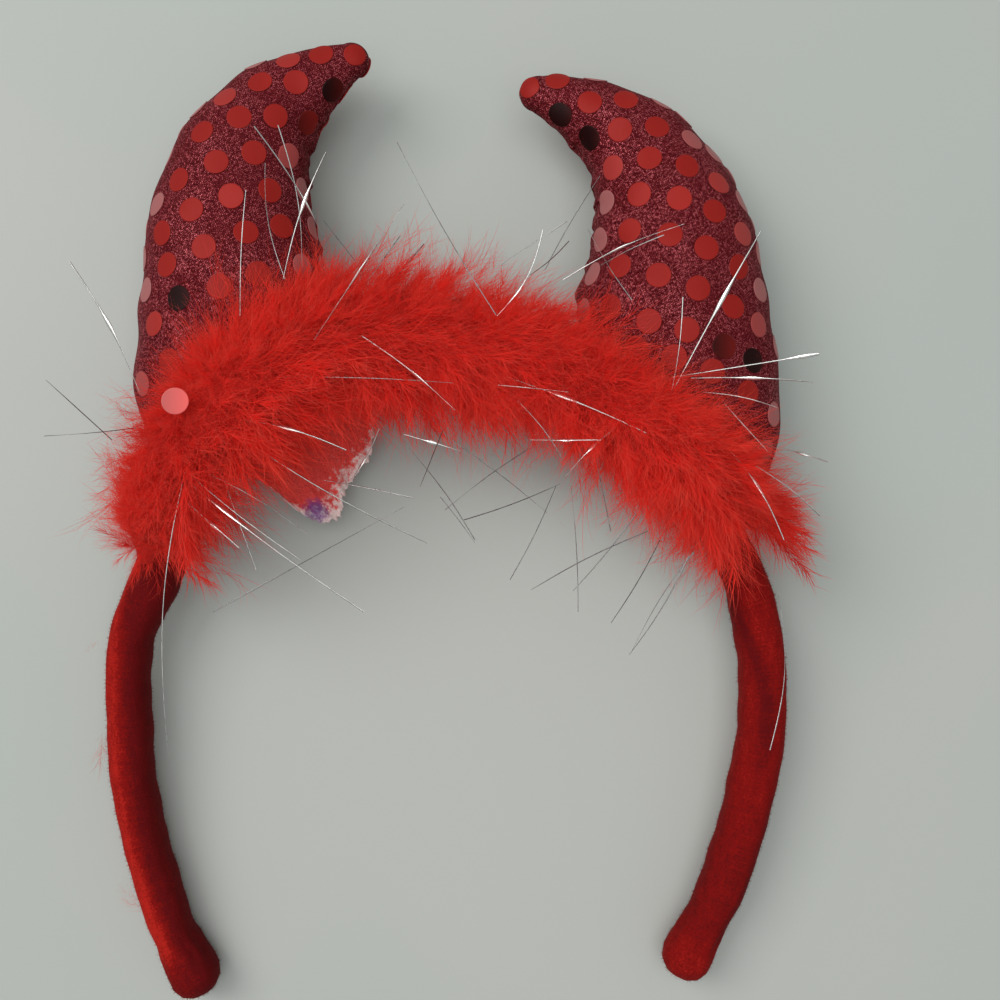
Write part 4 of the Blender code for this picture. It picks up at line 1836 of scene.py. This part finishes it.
@dataclass
class HemFlap:
    """The loose hem below the left horn, thin and crinkled, with a frayed pale edge."""

    thick: float = 0.7 * MM
    drop: float = 1.0 * MM
    sag: float = 5.5 * MM
    lines: int = 120
    rows: int = 60
    fray: float = 1.1
    # place of the painted violet reflection on the hem
    violet_reflection_pixel: tuple[float, float] = (317.0, 511.0)
    violet_reflection_lift: float = 8.0 * MM
    seed: int = 4

    def mesh(self) -> Mesh:
        """Builds the hem as a thin closed sheet."""
        table = read_table(HEM_EDGE, np.linspace(0.0, len(HEM_EDGE) - 1.0, self.lines))
        turn = np.radians(table[:, 0])
        share = np.linspace(0.0, 1.0, self.rows)
        draws = np.random.default_rng(self.seed)
        fray = np.convolve(draws.uniform(-1.0, 1.0, self.lines + 4), np.ones(3) / 3.0, "same")[2:-2]
        reach = (table[:, 1] + fray * self.fray) * MM
        out = np.stack((np.sin(turn), np.cos(turn), np.zeros_like(turn)), 1)
        start = ARCH_CENTRE + out * (ARCH_RADIUS - BAND_THICK / 2.0 - 0.35 * MM)
        grid = start[:, None] - out[:, None] * (reach[:, None] * share[None, :])[..., None]
        root = VelvetBand().lift(start[:, 1] - SHIFT[1]) - self.drop
        k = np.arange(self.lines)[:, None] / self.lines
        wave = 0.9 * np.sin(5.0 * math.pi * k) * share[None, :]
        wave = wave + 0.45 * np.sin(34.0 * k + 9.0 * share[None, :]) * share[None, :]
        wave = wave + 0.3 * np.sin(61.0 * k - 17.0 * share[None, :]) * share[None, :]
        grid[..., 2] = root[:, None] - self.sag * share[None, :] ** 1.5 + wave * MM
        half = np.array((0.0, 0.0, self.thick / 2.0))
        rings = np.concatenate((grid + half, (grid - half)[:, ::-1]), 1)
        mesh = skin_rings("hem_flap_cloth", rings)
        near = np.minimum(k, 1.0 - k) * 8.0
        edge = np.clip(share[None, :] ** 3 + (1.0 - np.clip(near, 0.0, 1.0)) ** 2, 0.0, 1.0)
        both = np.concatenate((edge, edge[:, ::-1]), 1).ravel()
        add_attribute(mesh, "edge", np.concatenate((both, [1.0, 1.0])))
        return mesh

    def build(self) -> Object:
        """Builds and dresses the hem."""
        # where the painted violet reflection sits
        violet_reflection = PHOTO.place(*self.violet_reflection_pixel, self.violet_reflection_lift)
        mesh = self.mesh()
        mesh.materials.append(HemFinish(violet_reflection=(float(violet_reflection[0]), float(violet_reflection[1]))).material())
        piece = new_piece(mesh.name, mesh)
        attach(piece, BODY)
        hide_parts("hem_flap")
        return piece


class Lay(Enum):
    """The two kinds of plume."""

    TUFT = "soft and dense"
    WISP = "long and sparse"


class Make(NamedTuple):
    """How a kind of plume is made.

    Attributes:
        barbs: how many barbs it has.
        joints: straight stretches of a barb.
        wide: width of a barb at its root.
        shaft: share of the plume that carries barbs.
        longer: how much longer its barbs are.
        curl: how far they stray.
    """

    barbs: int
    joints: int
    wide: float
    shaft: float
    longer: float
    curl: float


MAKES = {
    Lay.TUFT: Make(66, 2, 0.0066, 0.72, 1.0, 0.20),
    Lay.WISP: Make(22, 3, 0.0036, 0.8, 1.35, 0.32),
}


@dataclass
class Plume:
    """A small marabou plume of length 1: a soft shaft with fine barbs that lean to its tip.

    Attributes:
        lay: its kind.
        spread: how far the barbs stand off, in radians.
        seed: of its random draws.
    """

    lay: Lay
    spread: float
    seed: int

    def mesh(self) -> Mesh:
        """Builds the plume along +Z, with a tip attribute from 0 to 1."""
        draws = np.random.default_rng(self.seed)
        count, joints, wide, shaft, longer, curl = MAKES[self.lay]
        start = draws.beta(1.2, 1.3, count) * shaft
        around = draws.uniform(0.0, TURN, count)
        bend = draws.uniform(-0.16, 0.16, 2)
        reach = (0.30 + 0.22 * draws.random(count)) * (1.15 - 0.6 * start) * longer
        angle = self.spread * (0.5 + 0.8 * draws.random(count)) * (1.15 - 0.75 * start)
        radial = np.stack((np.cos(around), np.sin(around), np.zeros(count)), 1)
        knots = [np.stack((bend[0] * start**2, bend[1] * start**2, start), 1)]
        turn = draws.normal(0.0, curl, (count, 3))
        for step in range(joints):
            lean = angle * (1.0 - 0.25 * step)
            aim = UP * np.cos(lean)[:, None] + radial * np.sin(lean)[:, None]
            aim = aim + turn * (step + 0.5) + draws.normal(0.0, 0.07, (count, 3))
            knots.append(knots[-1] + unit(aim) * (reach / joints)[:, None])
        side = unit(np.cross(knots[-1] - knots[0], draws.normal(0.0, 1.0, (count, 3))))
        points = []
        for step, knot in enumerate(knots[:-1]):
            half = side * wide * (1.0 - 0.25 * step) / 2.0
            points += [knot - half, knot + half]
        points.append(knots[-1])
        each = len(points)
        base = (np.arange(count) * each)[:, None]
        faces = []
        for step in range(joints - 1):
            faces += (base + 2 * step + (0, 1, 3, 2)).tolist()
        faces += (base + 2 * (joints - 1) + (0, 1, 2)).tolist()
        mesh = bpy.data.meshes.new("plume")
        mesh.from_pydata(np.stack(points, 1).reshape(-1, 3).tolist(), [], faces)
        share = np.repeat(np.arange(joints + 1), 2)[:each] / joints
        own = start[:, None] * 0.7
        add_attribute(mesh, "tip", np.clip(own + share[None, :] * (1.0 - own), 0.0, 1.0).ravel())
        return mesh


@dataclass
class DownTrim:
    """The marabou trim: a soft heart along its thread, and plumes in four stretches.

    Attributes:
        plumes: how many plumes the whole trim has.
        tufts, wisps: how many different plumes of each kind there are.
        margin, clear: room that the down keeps over what it lies on, and over the floor.
        above, below: reach of the down upwards and downwards.
        longest: length that no plume goes over.
        half_width: how far to either side the plumes reach.
        kept: shares of the thread between which the plumes grow.
        end_share: share of the thread at each end where the top plumes lean inwards.
        parting: share of the thread from which the down parts over the right arm.
        parted_out, parted_in: how far it then leans along the thread, on each side of it.
        parted_short: how much shorter its top plumes then are.
        under, long: shares of the plumes that point down, and that are wisps.
        longer: how much longer wisps are.
        lean_in: how far the top plumes lean inwards at both ends.
        feel: how far along its aim a plume feels for what it would run into.
        lying: how far from a surface a barb under it is still laid on top.
        heart: size of the heart, as a share of the down's reach.
        heart_end: share of the thread where the heart ends on the right.
        tapers: how quickly the heart narrows at its left and its right end.
    """

    plumes: int = 4000
    tufts: int = 6
    wisps: int = 4
    margin: float = 0.35 * MM
    above: float = 13.0 * MM
    below: float = 9.0 * MM
    clear: float = 0.4 * MM
    longest: float = 26.0 * MM
    half_width: float = 77.0 * MM
    kept: tuple[float, float] = (0.02, 0.955)
    heart: float = 0.36
    steps: int = 400
    end_share: float = 0.12
    parting: float = 0.86
    parted_out: float = 1.4
    parted_in: float = 0.6
    parted_short: float = 0.75
    under: float = 0.16
    long: float = 0.40
    longer: float = 1.38
    lean_in: float = 2.2
    feel: float = 12.0 * MM
    lying: float = 14.0 * MM
    heart_end: float = 0.965
    tapers: tuple[float, float] = (16.0, 8.0)
    fans: int = 27
    seed: int = 21
    stretches: tuple[str, ...] = ("left", "crown_left", "crown_right", "right")

    def thread(self) -> tuple[np.ndarray, np.ndarray]:
        """Places along the thread, evenly spaced, and how the down lies there."""
        places = np.linspace(0.0, len(THREAD) - 1.0, 240)
        rows = read_table(THREAD, places) * MM + SHIFT
        both = even_walk(np.concatenate((rows, read_table(LAY, places)), 1), self.steps)
        return both[:, :3], both[:, 3:] * (MM, MM, 1.0)

    def axes(self, thread: np.ndarray) -> tuple[np.ndarray, np.ndarray, np.ndarray]:
        """Directions along, outwards and up at each place of the thread."""
        along = unit(np.gradient(thread, axis=0))
        outward = unit(np.cross(UP, along))
        return along, outward, np.cross(along, outward)

    def reach(self, lay: np.ndarray, turn: np.ndarray) -> np.ndarray:
        """Reach of the down at angles about the thread, 0 being outwards and a quarter up."""
        side = np.where(np.cos(turn) > 0.0, lay[..., 0], lay[..., 1])
        rise = np.where(np.sin(turn) > 0.0, self.above, self.below)
        return np.hypot(side * np.cos(turn), rise * np.sin(turn))

    def heart_mesh(self, ground: BVHTree) -> Mesh:
        """The soft heart of the trim, which fills the space between the plumes."""
        thread, lay = self.thread()
        _, outward, upright = self.axes(thread)
        turn = np.linspace(0.0, TURN, 40, endpoint=False)
        draws = np.random.default_rng(self.seed)
        radius = self.heart * self.reach(lay[:, None, :], turn[None, :])
        radius *= 1.0 + 0.10 * draws.normal(0.0, 1.0, radius.shape)
        walk = np.linspace(0.0, 1.0, self.steps)
        taper = np.minimum(walk * self.tapers[0], (self.heart_end - walk) * self.tapers[1])
        ends = np.sqrt(np.clip(taper, 0.0, 1.0)) * 0.98 + 0.02
        radius *= ends[:, None]
        ring = outward[:, None] * np.cos(turn)[None, :, None] + upright[:, None] * np.sin(turn)[None, :, None]
        points = thread[:, None] + ring * radius[..., None]
        for row in points:
            for k, place in enumerate(row):
                near, normal, _, _ = ground.find_nearest(Vector(place))
                normal = np.array(normal)
                if np.dot(place - np.array(near), normal) < self.margin:
                    row[k] = np.array(near) + normal * self.margin
        mesh = skin_rings("down_heart", points)
        # the heart gets a low tone and tip, painted darker like the roots, as painted shade inside the down
        add_attribute(mesh, "tone", np.full(len(mesh.vertices), 0.2))
        add_attribute(mesh, "tip", np.full(len(mesh.vertices), 0.3))
        return mesh

    def scatter(self, ground: BVHTree) -> dict[str, np.ndarray]:
        """Root, aim, size, tone and kind of every plume.

        Args:
            ground: what the trim lies on.

        Returns:
            Arrays by name, sorted along the thread.
        """
        draws = np.random.default_rng(self.seed)
        thread, lay = self.thread()
        along, outward, upright = self.axes(thread)
        count = self.plumes
        heads = (np.arange(self.fans) + 0.5 + draws.uniform(-0.3, 0.3, self.fans)) / self.fans * self.steps
        leans = draws.normal(0.0, 0.30, self.fans)
        tones = draws.uniform(0.0, 1.0, self.fans)
        fan = draws.integers(0, self.fans, count)
        away = draws.normal(0.0, 1.0, count)
        first, last = (share * self.steps for share in self.kept)
        index = first + np.abs(heads[fan] + away * self.steps / self.fans * 0.55 - first)
        index = (last - np.abs(last - index)).astype(int)
        order = np.argsort(index, kind="stable")
        fan, away, index = fan[order], away[order], index[order]
        turn = np.radians(draws.uniform(-35.0, 215.0, count))
        under = draws.random(count) < self.under
        turn[under] = np.radians(draws.uniform(215.0, 325.0, under.sum()))
        radial = outward[index] * np.cos(turn)[:, None] + upright[index] * np.sin(turn)[:, None]
        swirl = lay[index, 2] + leans[fan] + 0.40 * away + draws.normal(0.0, 0.18, count)
        near = self.end_share * self.steps
        inwards = np.clip(1.0 - index / near, 0.0, 1.0) - np.clip(1.0 - (self.steps - index) / near, 0.0, 1.0)
        swirl += self.lean_in * inwards * np.maximum(np.sin(turn), 0.0)
        parted = smooth(self.parting * self.steps, last, index)
        swirl += parted * np.cos(turn) * np.where(np.cos(turn) > 0.0, self.parted_out, self.parted_in)
        wisp = draws.random(count) < self.long
        aim = radial + along[index] * swirl[:, None] + draws.normal(0.0, 0.12, (count, 3))
        aim = unit(aim - UP * (0.10 + 0.15 * (np.abs(np.cos(turn)) ** 2))[:, None])
        size = self.reach(lay[index], turn) * np.sqrt(1.0 + swirl**2 * 0.6) * 0.74
        size *= draws.normal(1.0, 0.17, count).clip(0.6, 1.5) * np.where(wisp, self.longer, 1.0)
        root = thread[index] + radial * draws.uniform(0.4, 2.6, count)[:, None] * MM
        room = self.half_width - root[:, 0] * np.sign(aim[:, 0])
        size = np.minimum(size, room / np.maximum(np.abs(aim[:, 0]) * 1.2, 0.3))
        size = np.minimum(size, self.longest)
        size *= 1.0 - self.parted_short * parted * smooth(0.1, 0.5, np.sin(turn))
        for k in range(count):
            hit, normal, _, distance = ground.ray_cast(Vector(root[k]), Vector(aim[k]), self.feel)
            if hit is None:
                continue
            n = np.array(normal)
            n = n if np.dot(n, aim[k]) < 0.0 else -n
            flat = aim[k] - n * np.dot(aim[k], n)
            aim[k] = unit(flat + n * 0.25 * (1.0 - distance / self.feel))
        wisps = self.tufts + draws.integers(0, self.wisps, count)
        kind = np.where(wisp, wisps, draws.integers(0, self.tufts, count))
        shade = 0.45 * tones[fan] + 0.55 * draws.uniform(0.0, 1.0, count)
        found = {"root": root, "aim": aim, "size": size, "shade": shade, "kind": kind}
        strays = self.strays()
        return {key: np.concatenate((strays[key], value)) for key, value in found.items()}

    def strays(self) -> dict[str, np.ndarray]:
        """The loose bits of down on the left arm, as the photograph places them."""
        roots = np.array([PHOTO.place(s.root_x, s.root_y, 11.0 * MM) for s in STRAYS])
        tips = np.array([PHOTO.place(s.tip_x, s.tip_y, 8.0 * MM) for s in STRAYS])
        run = tips - roots
        count = len(STRAYS)
        return {
            "root": roots,
            "aim": unit(run),
            "size": np.linalg.norm(run, axis=1) * 0.9,
            "shade": np.full(count, 0.3),
            "kind": self.tufts + np.arange(count) % self.wisps,
        }

    def recipe(self, store: Collection, ground: Object) -> tuple[Recipe, Wire]:
        """The tree that sets the plumes and lays them over what they meet.

        Args:
            store: the collection of plumes to choose from.
            ground: what the trim lies on, as one object.

        Returns:
            The recipe and its last geometry.
        """
        r = Recipe(
            "down_recipe",
            {
                "Plumes": ("NodeSocketCollection", store),
                "Ground": ("NodeSocketObject", ground),
                "Margin": ("NodeSocketFloat", self.margin),
                "Seed": ("NodeSocketInt", self.seed),
            },
        )
        aim = r.named("aim", "FLOAT_VECTOR")
        inputs = {"Collection": r.given("Plumes"), "Separate Children": True, "Reset Children": True}
        inputs = {
            "Points": r.given(),
            "Instance": r.wire("GeometryNodeCollectionInfo", 0, None, inputs),
            "Pick Instance": True,
            "Instance Index": r.named("kind", "INT"),
            "Rotation": r.rolled(r.facing(aim), r.chance(0.0, TURN, r.given("Seed"))),
            "Scale": r.named("size"),
        }
        copies = r.wire("GeometryNodeInstanceOnPoints", 0, None, inputs)
        toned = r.stored(copies, "tone", r.named("shade"), "INSTANCE")
        touch, normal, distance = r.nearest(r.shape("Ground"))
        gap = r.vector("DOT_PRODUCT", r.vector("SUBTRACT", r.position(), touch), normal, output="Value")
        inside = r.math("LESS_THAN", gap, r.given("Margin")) * r.math("LESS_THAN", distance, self.lying)
        lifted = r.vector("ADD", touch, r.scaled(normal, r.given("Margin")))
        inputs = {"Geometry": r.realized(toned), "Selection": inside, "Position": lifted}
        laid = r.wire("GeometryNodeSetPosition", 0, None, inputs)
        return r, r.floored(laid, self.clear)

    def store(self) -> Collection:
        """The collection of different plumes."""
        made = bpy.data.collections.new("plumes")
        kinds = [Lay.TUFT] * self.tufts + [Lay.WISP] * self.wisps
        for k, lay in enumerate(kinds):
            plume = Plume(lay, 0.50 + 0.06 * (k % 4), 100 + k)
            made.objects.link(bpy.data.objects.new(f"plume_{k}", plume.mesh()))
        return made

    def build(self, finish: DownFinish, carriers: Sequence[Object]) -> list[Object]:
        """Builds and dresses the trim.

        Args:
            finish: the down.
            carriers: the pieces that it lies on.

        Returns:
            The heart and one piece for each stretch.
        """
        material = finish.material()
        store = self.store()
        ground = new_piece("ground", joined_mesh(carriers))
        tree = surface_tree(ground.data)
        heart = self.heart_mesh(tree)
        heart.materials.append(material)
        made = [new_piece("down_heart", heart)]
        found = self.scatter(tree)
        cuts = np.array_split(np.arange(len(found["size"])), len(self.stretches))
        for name, chosen in zip(self.stretches, cuts):
            mesh = bpy.data.meshes.new("roots")
            mesh.from_pydata(found["root"][chosen].tolist(), [], [])
            for key in ("aim", "size", "shade"):
                add_attribute(mesh, key, found[key][chosen])
            kinds = mesh.attributes.new("kind", "INT", "POINT")
            kinds.data.foreach_set("value", found["kind"][chosen].astype(np.int32))
            recipe, last = self.recipe(store, ground)
            made.append(recipe.bake(new_piece(f"down_{name}", mesh), last, material))
        for piece in made:
            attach(piece, BODY)
            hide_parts("feather_trim")
        bpy.data.objects.remove(ground)
        for plume in list(store.objects):
            bpy.data.objects.remove(plume)
        bpy.data.collections.remove(store)
        return made


@dataclass
class Tinsel:
    """Bright film strands that stand out of the trim.

    Attributes:
        low, high: height of a strand's root and its tip over the floor.
        width: of the film where a strand's table says 1.
        knots: points along a strand.
        fine: points along its finished film.
        twist: turns of the film along a strand.
        thick: thickness of the film, as a share of its width.
        wider: how much wider it looks where it flashes.
        painted_flash_share: how long a painted highlight is, as a share of the strand.
        dim: share of its painted tone that a strand keeps away from its painted highlight.
    """

    low: float = 35.0 * MM
    high: float = 40.0 * MM
    width: float = 0.82 * MM
    knots: int = 17
    fine: int = 24
    twist: float = 0.30
    thick: float = 0.25
    wider: float = 2.6
    painted_flash_share: float = 0.08
    dim: float = 0.62
    seed: int = 8

    def lines(self) -> list[tuple[np.ndarray, Strand]]:
        """Points of each strand, with its row of the table."""
        draws = random.Random(self.seed)
        found = []
        for strand in STRANDS:
            low = self.low + draws.uniform(-2.0, 2.0) * MM
            high = self.high + draws.uniform(-6.0, 4.0) * MM
            start = PHOTO.place(strand.root_x, strand.root_y, low)
            end = PHOTO.place(strand.tip_x, strand.tip_y, high)
            share = np.linspace(0.0, 1.0, self.knots)[:, None]
            run = end - start
            side = unit(np.array((-run[1], run[0], 0.0)))
            bow = strand.bow * (PHOTO.eye[2] - self.high) / PHOTO.focal_px
            points = start + run * share + side * bow * np.sin(share * math.pi)
            found.append((points, strand))
        return found

    def painted_flash(self, strand: Strand, count: int) -> np.ndarray:
        """How much painted highlight each of some evenly spaced places along a strand gets, from 0 to 1."""
        share = np.linspace(0.0, 1.0, count)
        return np.exp(-(((share - strand.painted_flash) / self.painted_flash_share) ** 2)) * (strand.painted_flash >= 0.0)

    def build(self, finish: TinselFinish) -> Object:
        """Builds and dresses the strands."""
        curve = bpy.data.curves.new("tinsel_lines", "CURVE")
        curve.dimensions = "3D"
        lines = self.lines()
        for points, strand in lines:
            spline = curve.splines.new("POLY")
            spline.points.add(len(points) - 1)
            for knot, place in zip(spline.points, points):
                knot.co = (*place, 1.0)
            swell = 1.0 + self.wider * self.painted_flash(strand, len(points))
            spline.points.foreach_set("radius", strand.wide * swell)
        host = bpy.data.objects.new("tinsel_strands", curve)
        bpy.context.scene.collection.objects.link(host)
        r = Recipe(
            "tinsel_recipe",
            {
                "Width": ("NodeSocketFloat", self.width),
                "Twist": ("NodeSocketFloat", self.twist),
                "Seed": ("NodeSocketInt", self.seed),
            },
        )
        inputs = {"Curve": r.given(), "Count": self.fine}
        fine = r.wire("GeometryNodeResampleCurve", 0, {"mode": "COUNT"}, inputs)
        share = r.wire("GeometryNodeSplineParameter", "Factor")
        number = r.wire("GeometryNodeCurveOfPoint", "Curve Index")
        turn = (share - 0.5) * r.given("Twist") * TURN
        turn = r.chance(-1.1, 1.1, r.given("Seed"), number) + turn
        tilted = r.wire("GeometryNodeSetCurveTilt", 0, None, {"Curve": fine, "Tilt": turn})
        inputs = {"Width": r.given("Width"), "Height": r.given("Width") * self.thick}
        film = r.wire("GeometryNodeCurvePrimitiveQuadrilateral", 0, {"mode": "RECTANGLE"}, inputs)
        radius = r.wire("GeometryNodeInputRadius", 0)
        inputs = {"Curve": tilted, "Profile Curve": film, "Scale": radius, "Fill Caps": True}
        ribbon = r.wire("GeometryNodeCurveToMesh", 0, None, inputs)
        piece = r.bake(host, ribbon, finish.material())
        self.store_tones(piece.data, lines)
        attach(piece, BODY)
        return piece

    def store_tones(self, mesh: Mesh, lines: Sequence[tuple[np.ndarray, Strand]]) -> None:
        """Gives each strand's points the painted tone of its row, brighter at its painted highlight.

        Args:
            mesh: the strands' mesh, strand by strand.
            lines: the strands.
        """
        corners = len(mesh.vertices) // (len(lines) * self.fine)
        tones = []
        for _, strand in lines:
            # painted highlight where the strand catches the light, over its painted tone
            painted_flash = self.painted_flash(strand, self.fine)
            tone = strand.tone * self.dim
            tones.append(np.repeat(tone + (1.0 - tone) * painted_flash, corners))
        add_attribute(mesh, "tone", np.concatenate(tones))


# Surroundings


@dataclass
class Studio:
    """A pale floor, soft light from the upper left, and the camera over the table."""

    floor_half: float = 1.6
    key_power: float = 26.0
    top_power: float = 17.0
    sky: float = 0.38
    sky_tint: Colour = (0.95, 1.0, 0.98)

    def floor(self) -> Object:
        """A flat pale floor under the headband."""
        half = self.floor_half
        points = [(-half, -half, 0.0), (half, -half, 0.0), (half, half, 0.0), (-half, half, 0.0)]
        mesh = bpy.data.meshes.new("floor")
        mesh.from_pydata(points, [], [(0, 1, 2, 3)])
        mesh.materials.append(FloorFinish().material())
        piece = new_piece("floor", mesh)
        return piece

    def lamp(
        self, name: str, place: tuple[float, float, float], size: float, power: float, tint: Colour
    ) -> None:
        """A soft square lamp that faces the headband.

        Args:
            name: the lamp's name.
            place: where it hangs.
            size: its side.
            power: in watts.
            tint: its colour.
        """
        light = bpy.data.lights.new(name, "AREA")
        light.size = size
        light.energy = power
        light.color = tint
        lamp = bpy.data.objects.new(name, light)
        lamp.location = place
        lamp.rotation_euler = Vector(place).to_track_quat("Z", "Y").to_euler()
        bpy.context.scene.collection.objects.link(lamp)

    def camera(self) -> None:
        """The camera of the photograph."""
        view = bpy.data.cameras.new("camera")
        view.sensor_width = 36.0
        view.lens = view.sensor_width * PHOTO.focal_px / (2.0 * PHOTO.middle_px)
        view.clip_start = 0.01
        made = bpy.data.objects.new("camera", view)
        made.location = SHIFT + np.array(PHOTO.eye)
        bpy.context.scene.collection.objects.link(made)
        bpy.context.scene.camera = made

    def build(self) -> None:
        """Sets everything up."""
        world = bpy.data.worlds.new("studio")
        world.use_nodes = True
        tree = Tree(world.node_tree)
        world.node_tree.nodes.clear()
        inputs = {"Color": (*self.sky_tint, 1.0), "Strength": self.sky}
        sky = tree.wire("ShaderNodeBackground", 0, None, inputs)
        tree.node("ShaderNodeOutputWorld", None, {"Surface": sky})
        bpy.context.scene.world = world
        bpy.context.scene.view_settings.view_transform = "Standard"
        self.floor()
        self.lamp("key", (-1.2, 0.75, 1.75), 1.3, self.key_power, (1.0, 0.99, 0.97))
        self.lamp("top", (0.0, 0.0, 1.9), 1.5, self.top_power, (0.97, 1.0, 0.99))
        self.camera()


def report(pieces: Sequence[Object]) -> None:
    """Logs the name and the size of each piece."""
    for piece in pieces:
        LOG.info("%s: %d triangles", piece.name, triangle_count(piece))


def main() -> None:
    """Builds every piece in order."""
    logging.basicConfig(level=logging.INFO, format="%(message)s")
    band = VelvetBand().build(VelvetFinish())
    report(band)
    horns = {side: StuffedHorn(side) for side in Side}
    covers = [horn.build(KnitFinish()) for horn in horns.values()]
    report(covers)
    film = SequinFinish().material()
    left = Sequins(
        horns[Side.LEFT],
        first=(254.0, 152.6),
        row=(8.0 * MM, 1.44 * MM),
        column=(3.77 * MM, -7.23 * MM),
        bow=6.1,
        # dots painted dark, a painted dark reflection
        dark=((308.0, 123.0, 0.15), (333.0, 90.0, 0.05), (179.0, 298.0, 0.0)),
        loose=((175.0, 401.0),),
    )
    right = Sequins(
        horns[Side.RIGHT],
        first=(649.0, 158.0),
        row=(7.52 * MM, -0.63 * MM),
        column=(-2.05 * MM, -7.31 * MM),
        bow=8.0,
        # dots painted dark, a painted dark reflection
        dark=((560.0, 115.0, 0.0), (589.0, 138.0, 0.0), (724.0, 347.0, 0.1), (753.0, 360.0, 0.0)),
    )
    report([left.build(film, covers[0]), right.build(film, covers[1])])
    report([HemFlap().build()])
    report(DownTrim().build(DownFinish(), [band[0], *covers]))
    report([Tinsel().build(TinselFinish())])
    Studio().build()


if __name__ == "__main__":
    main()
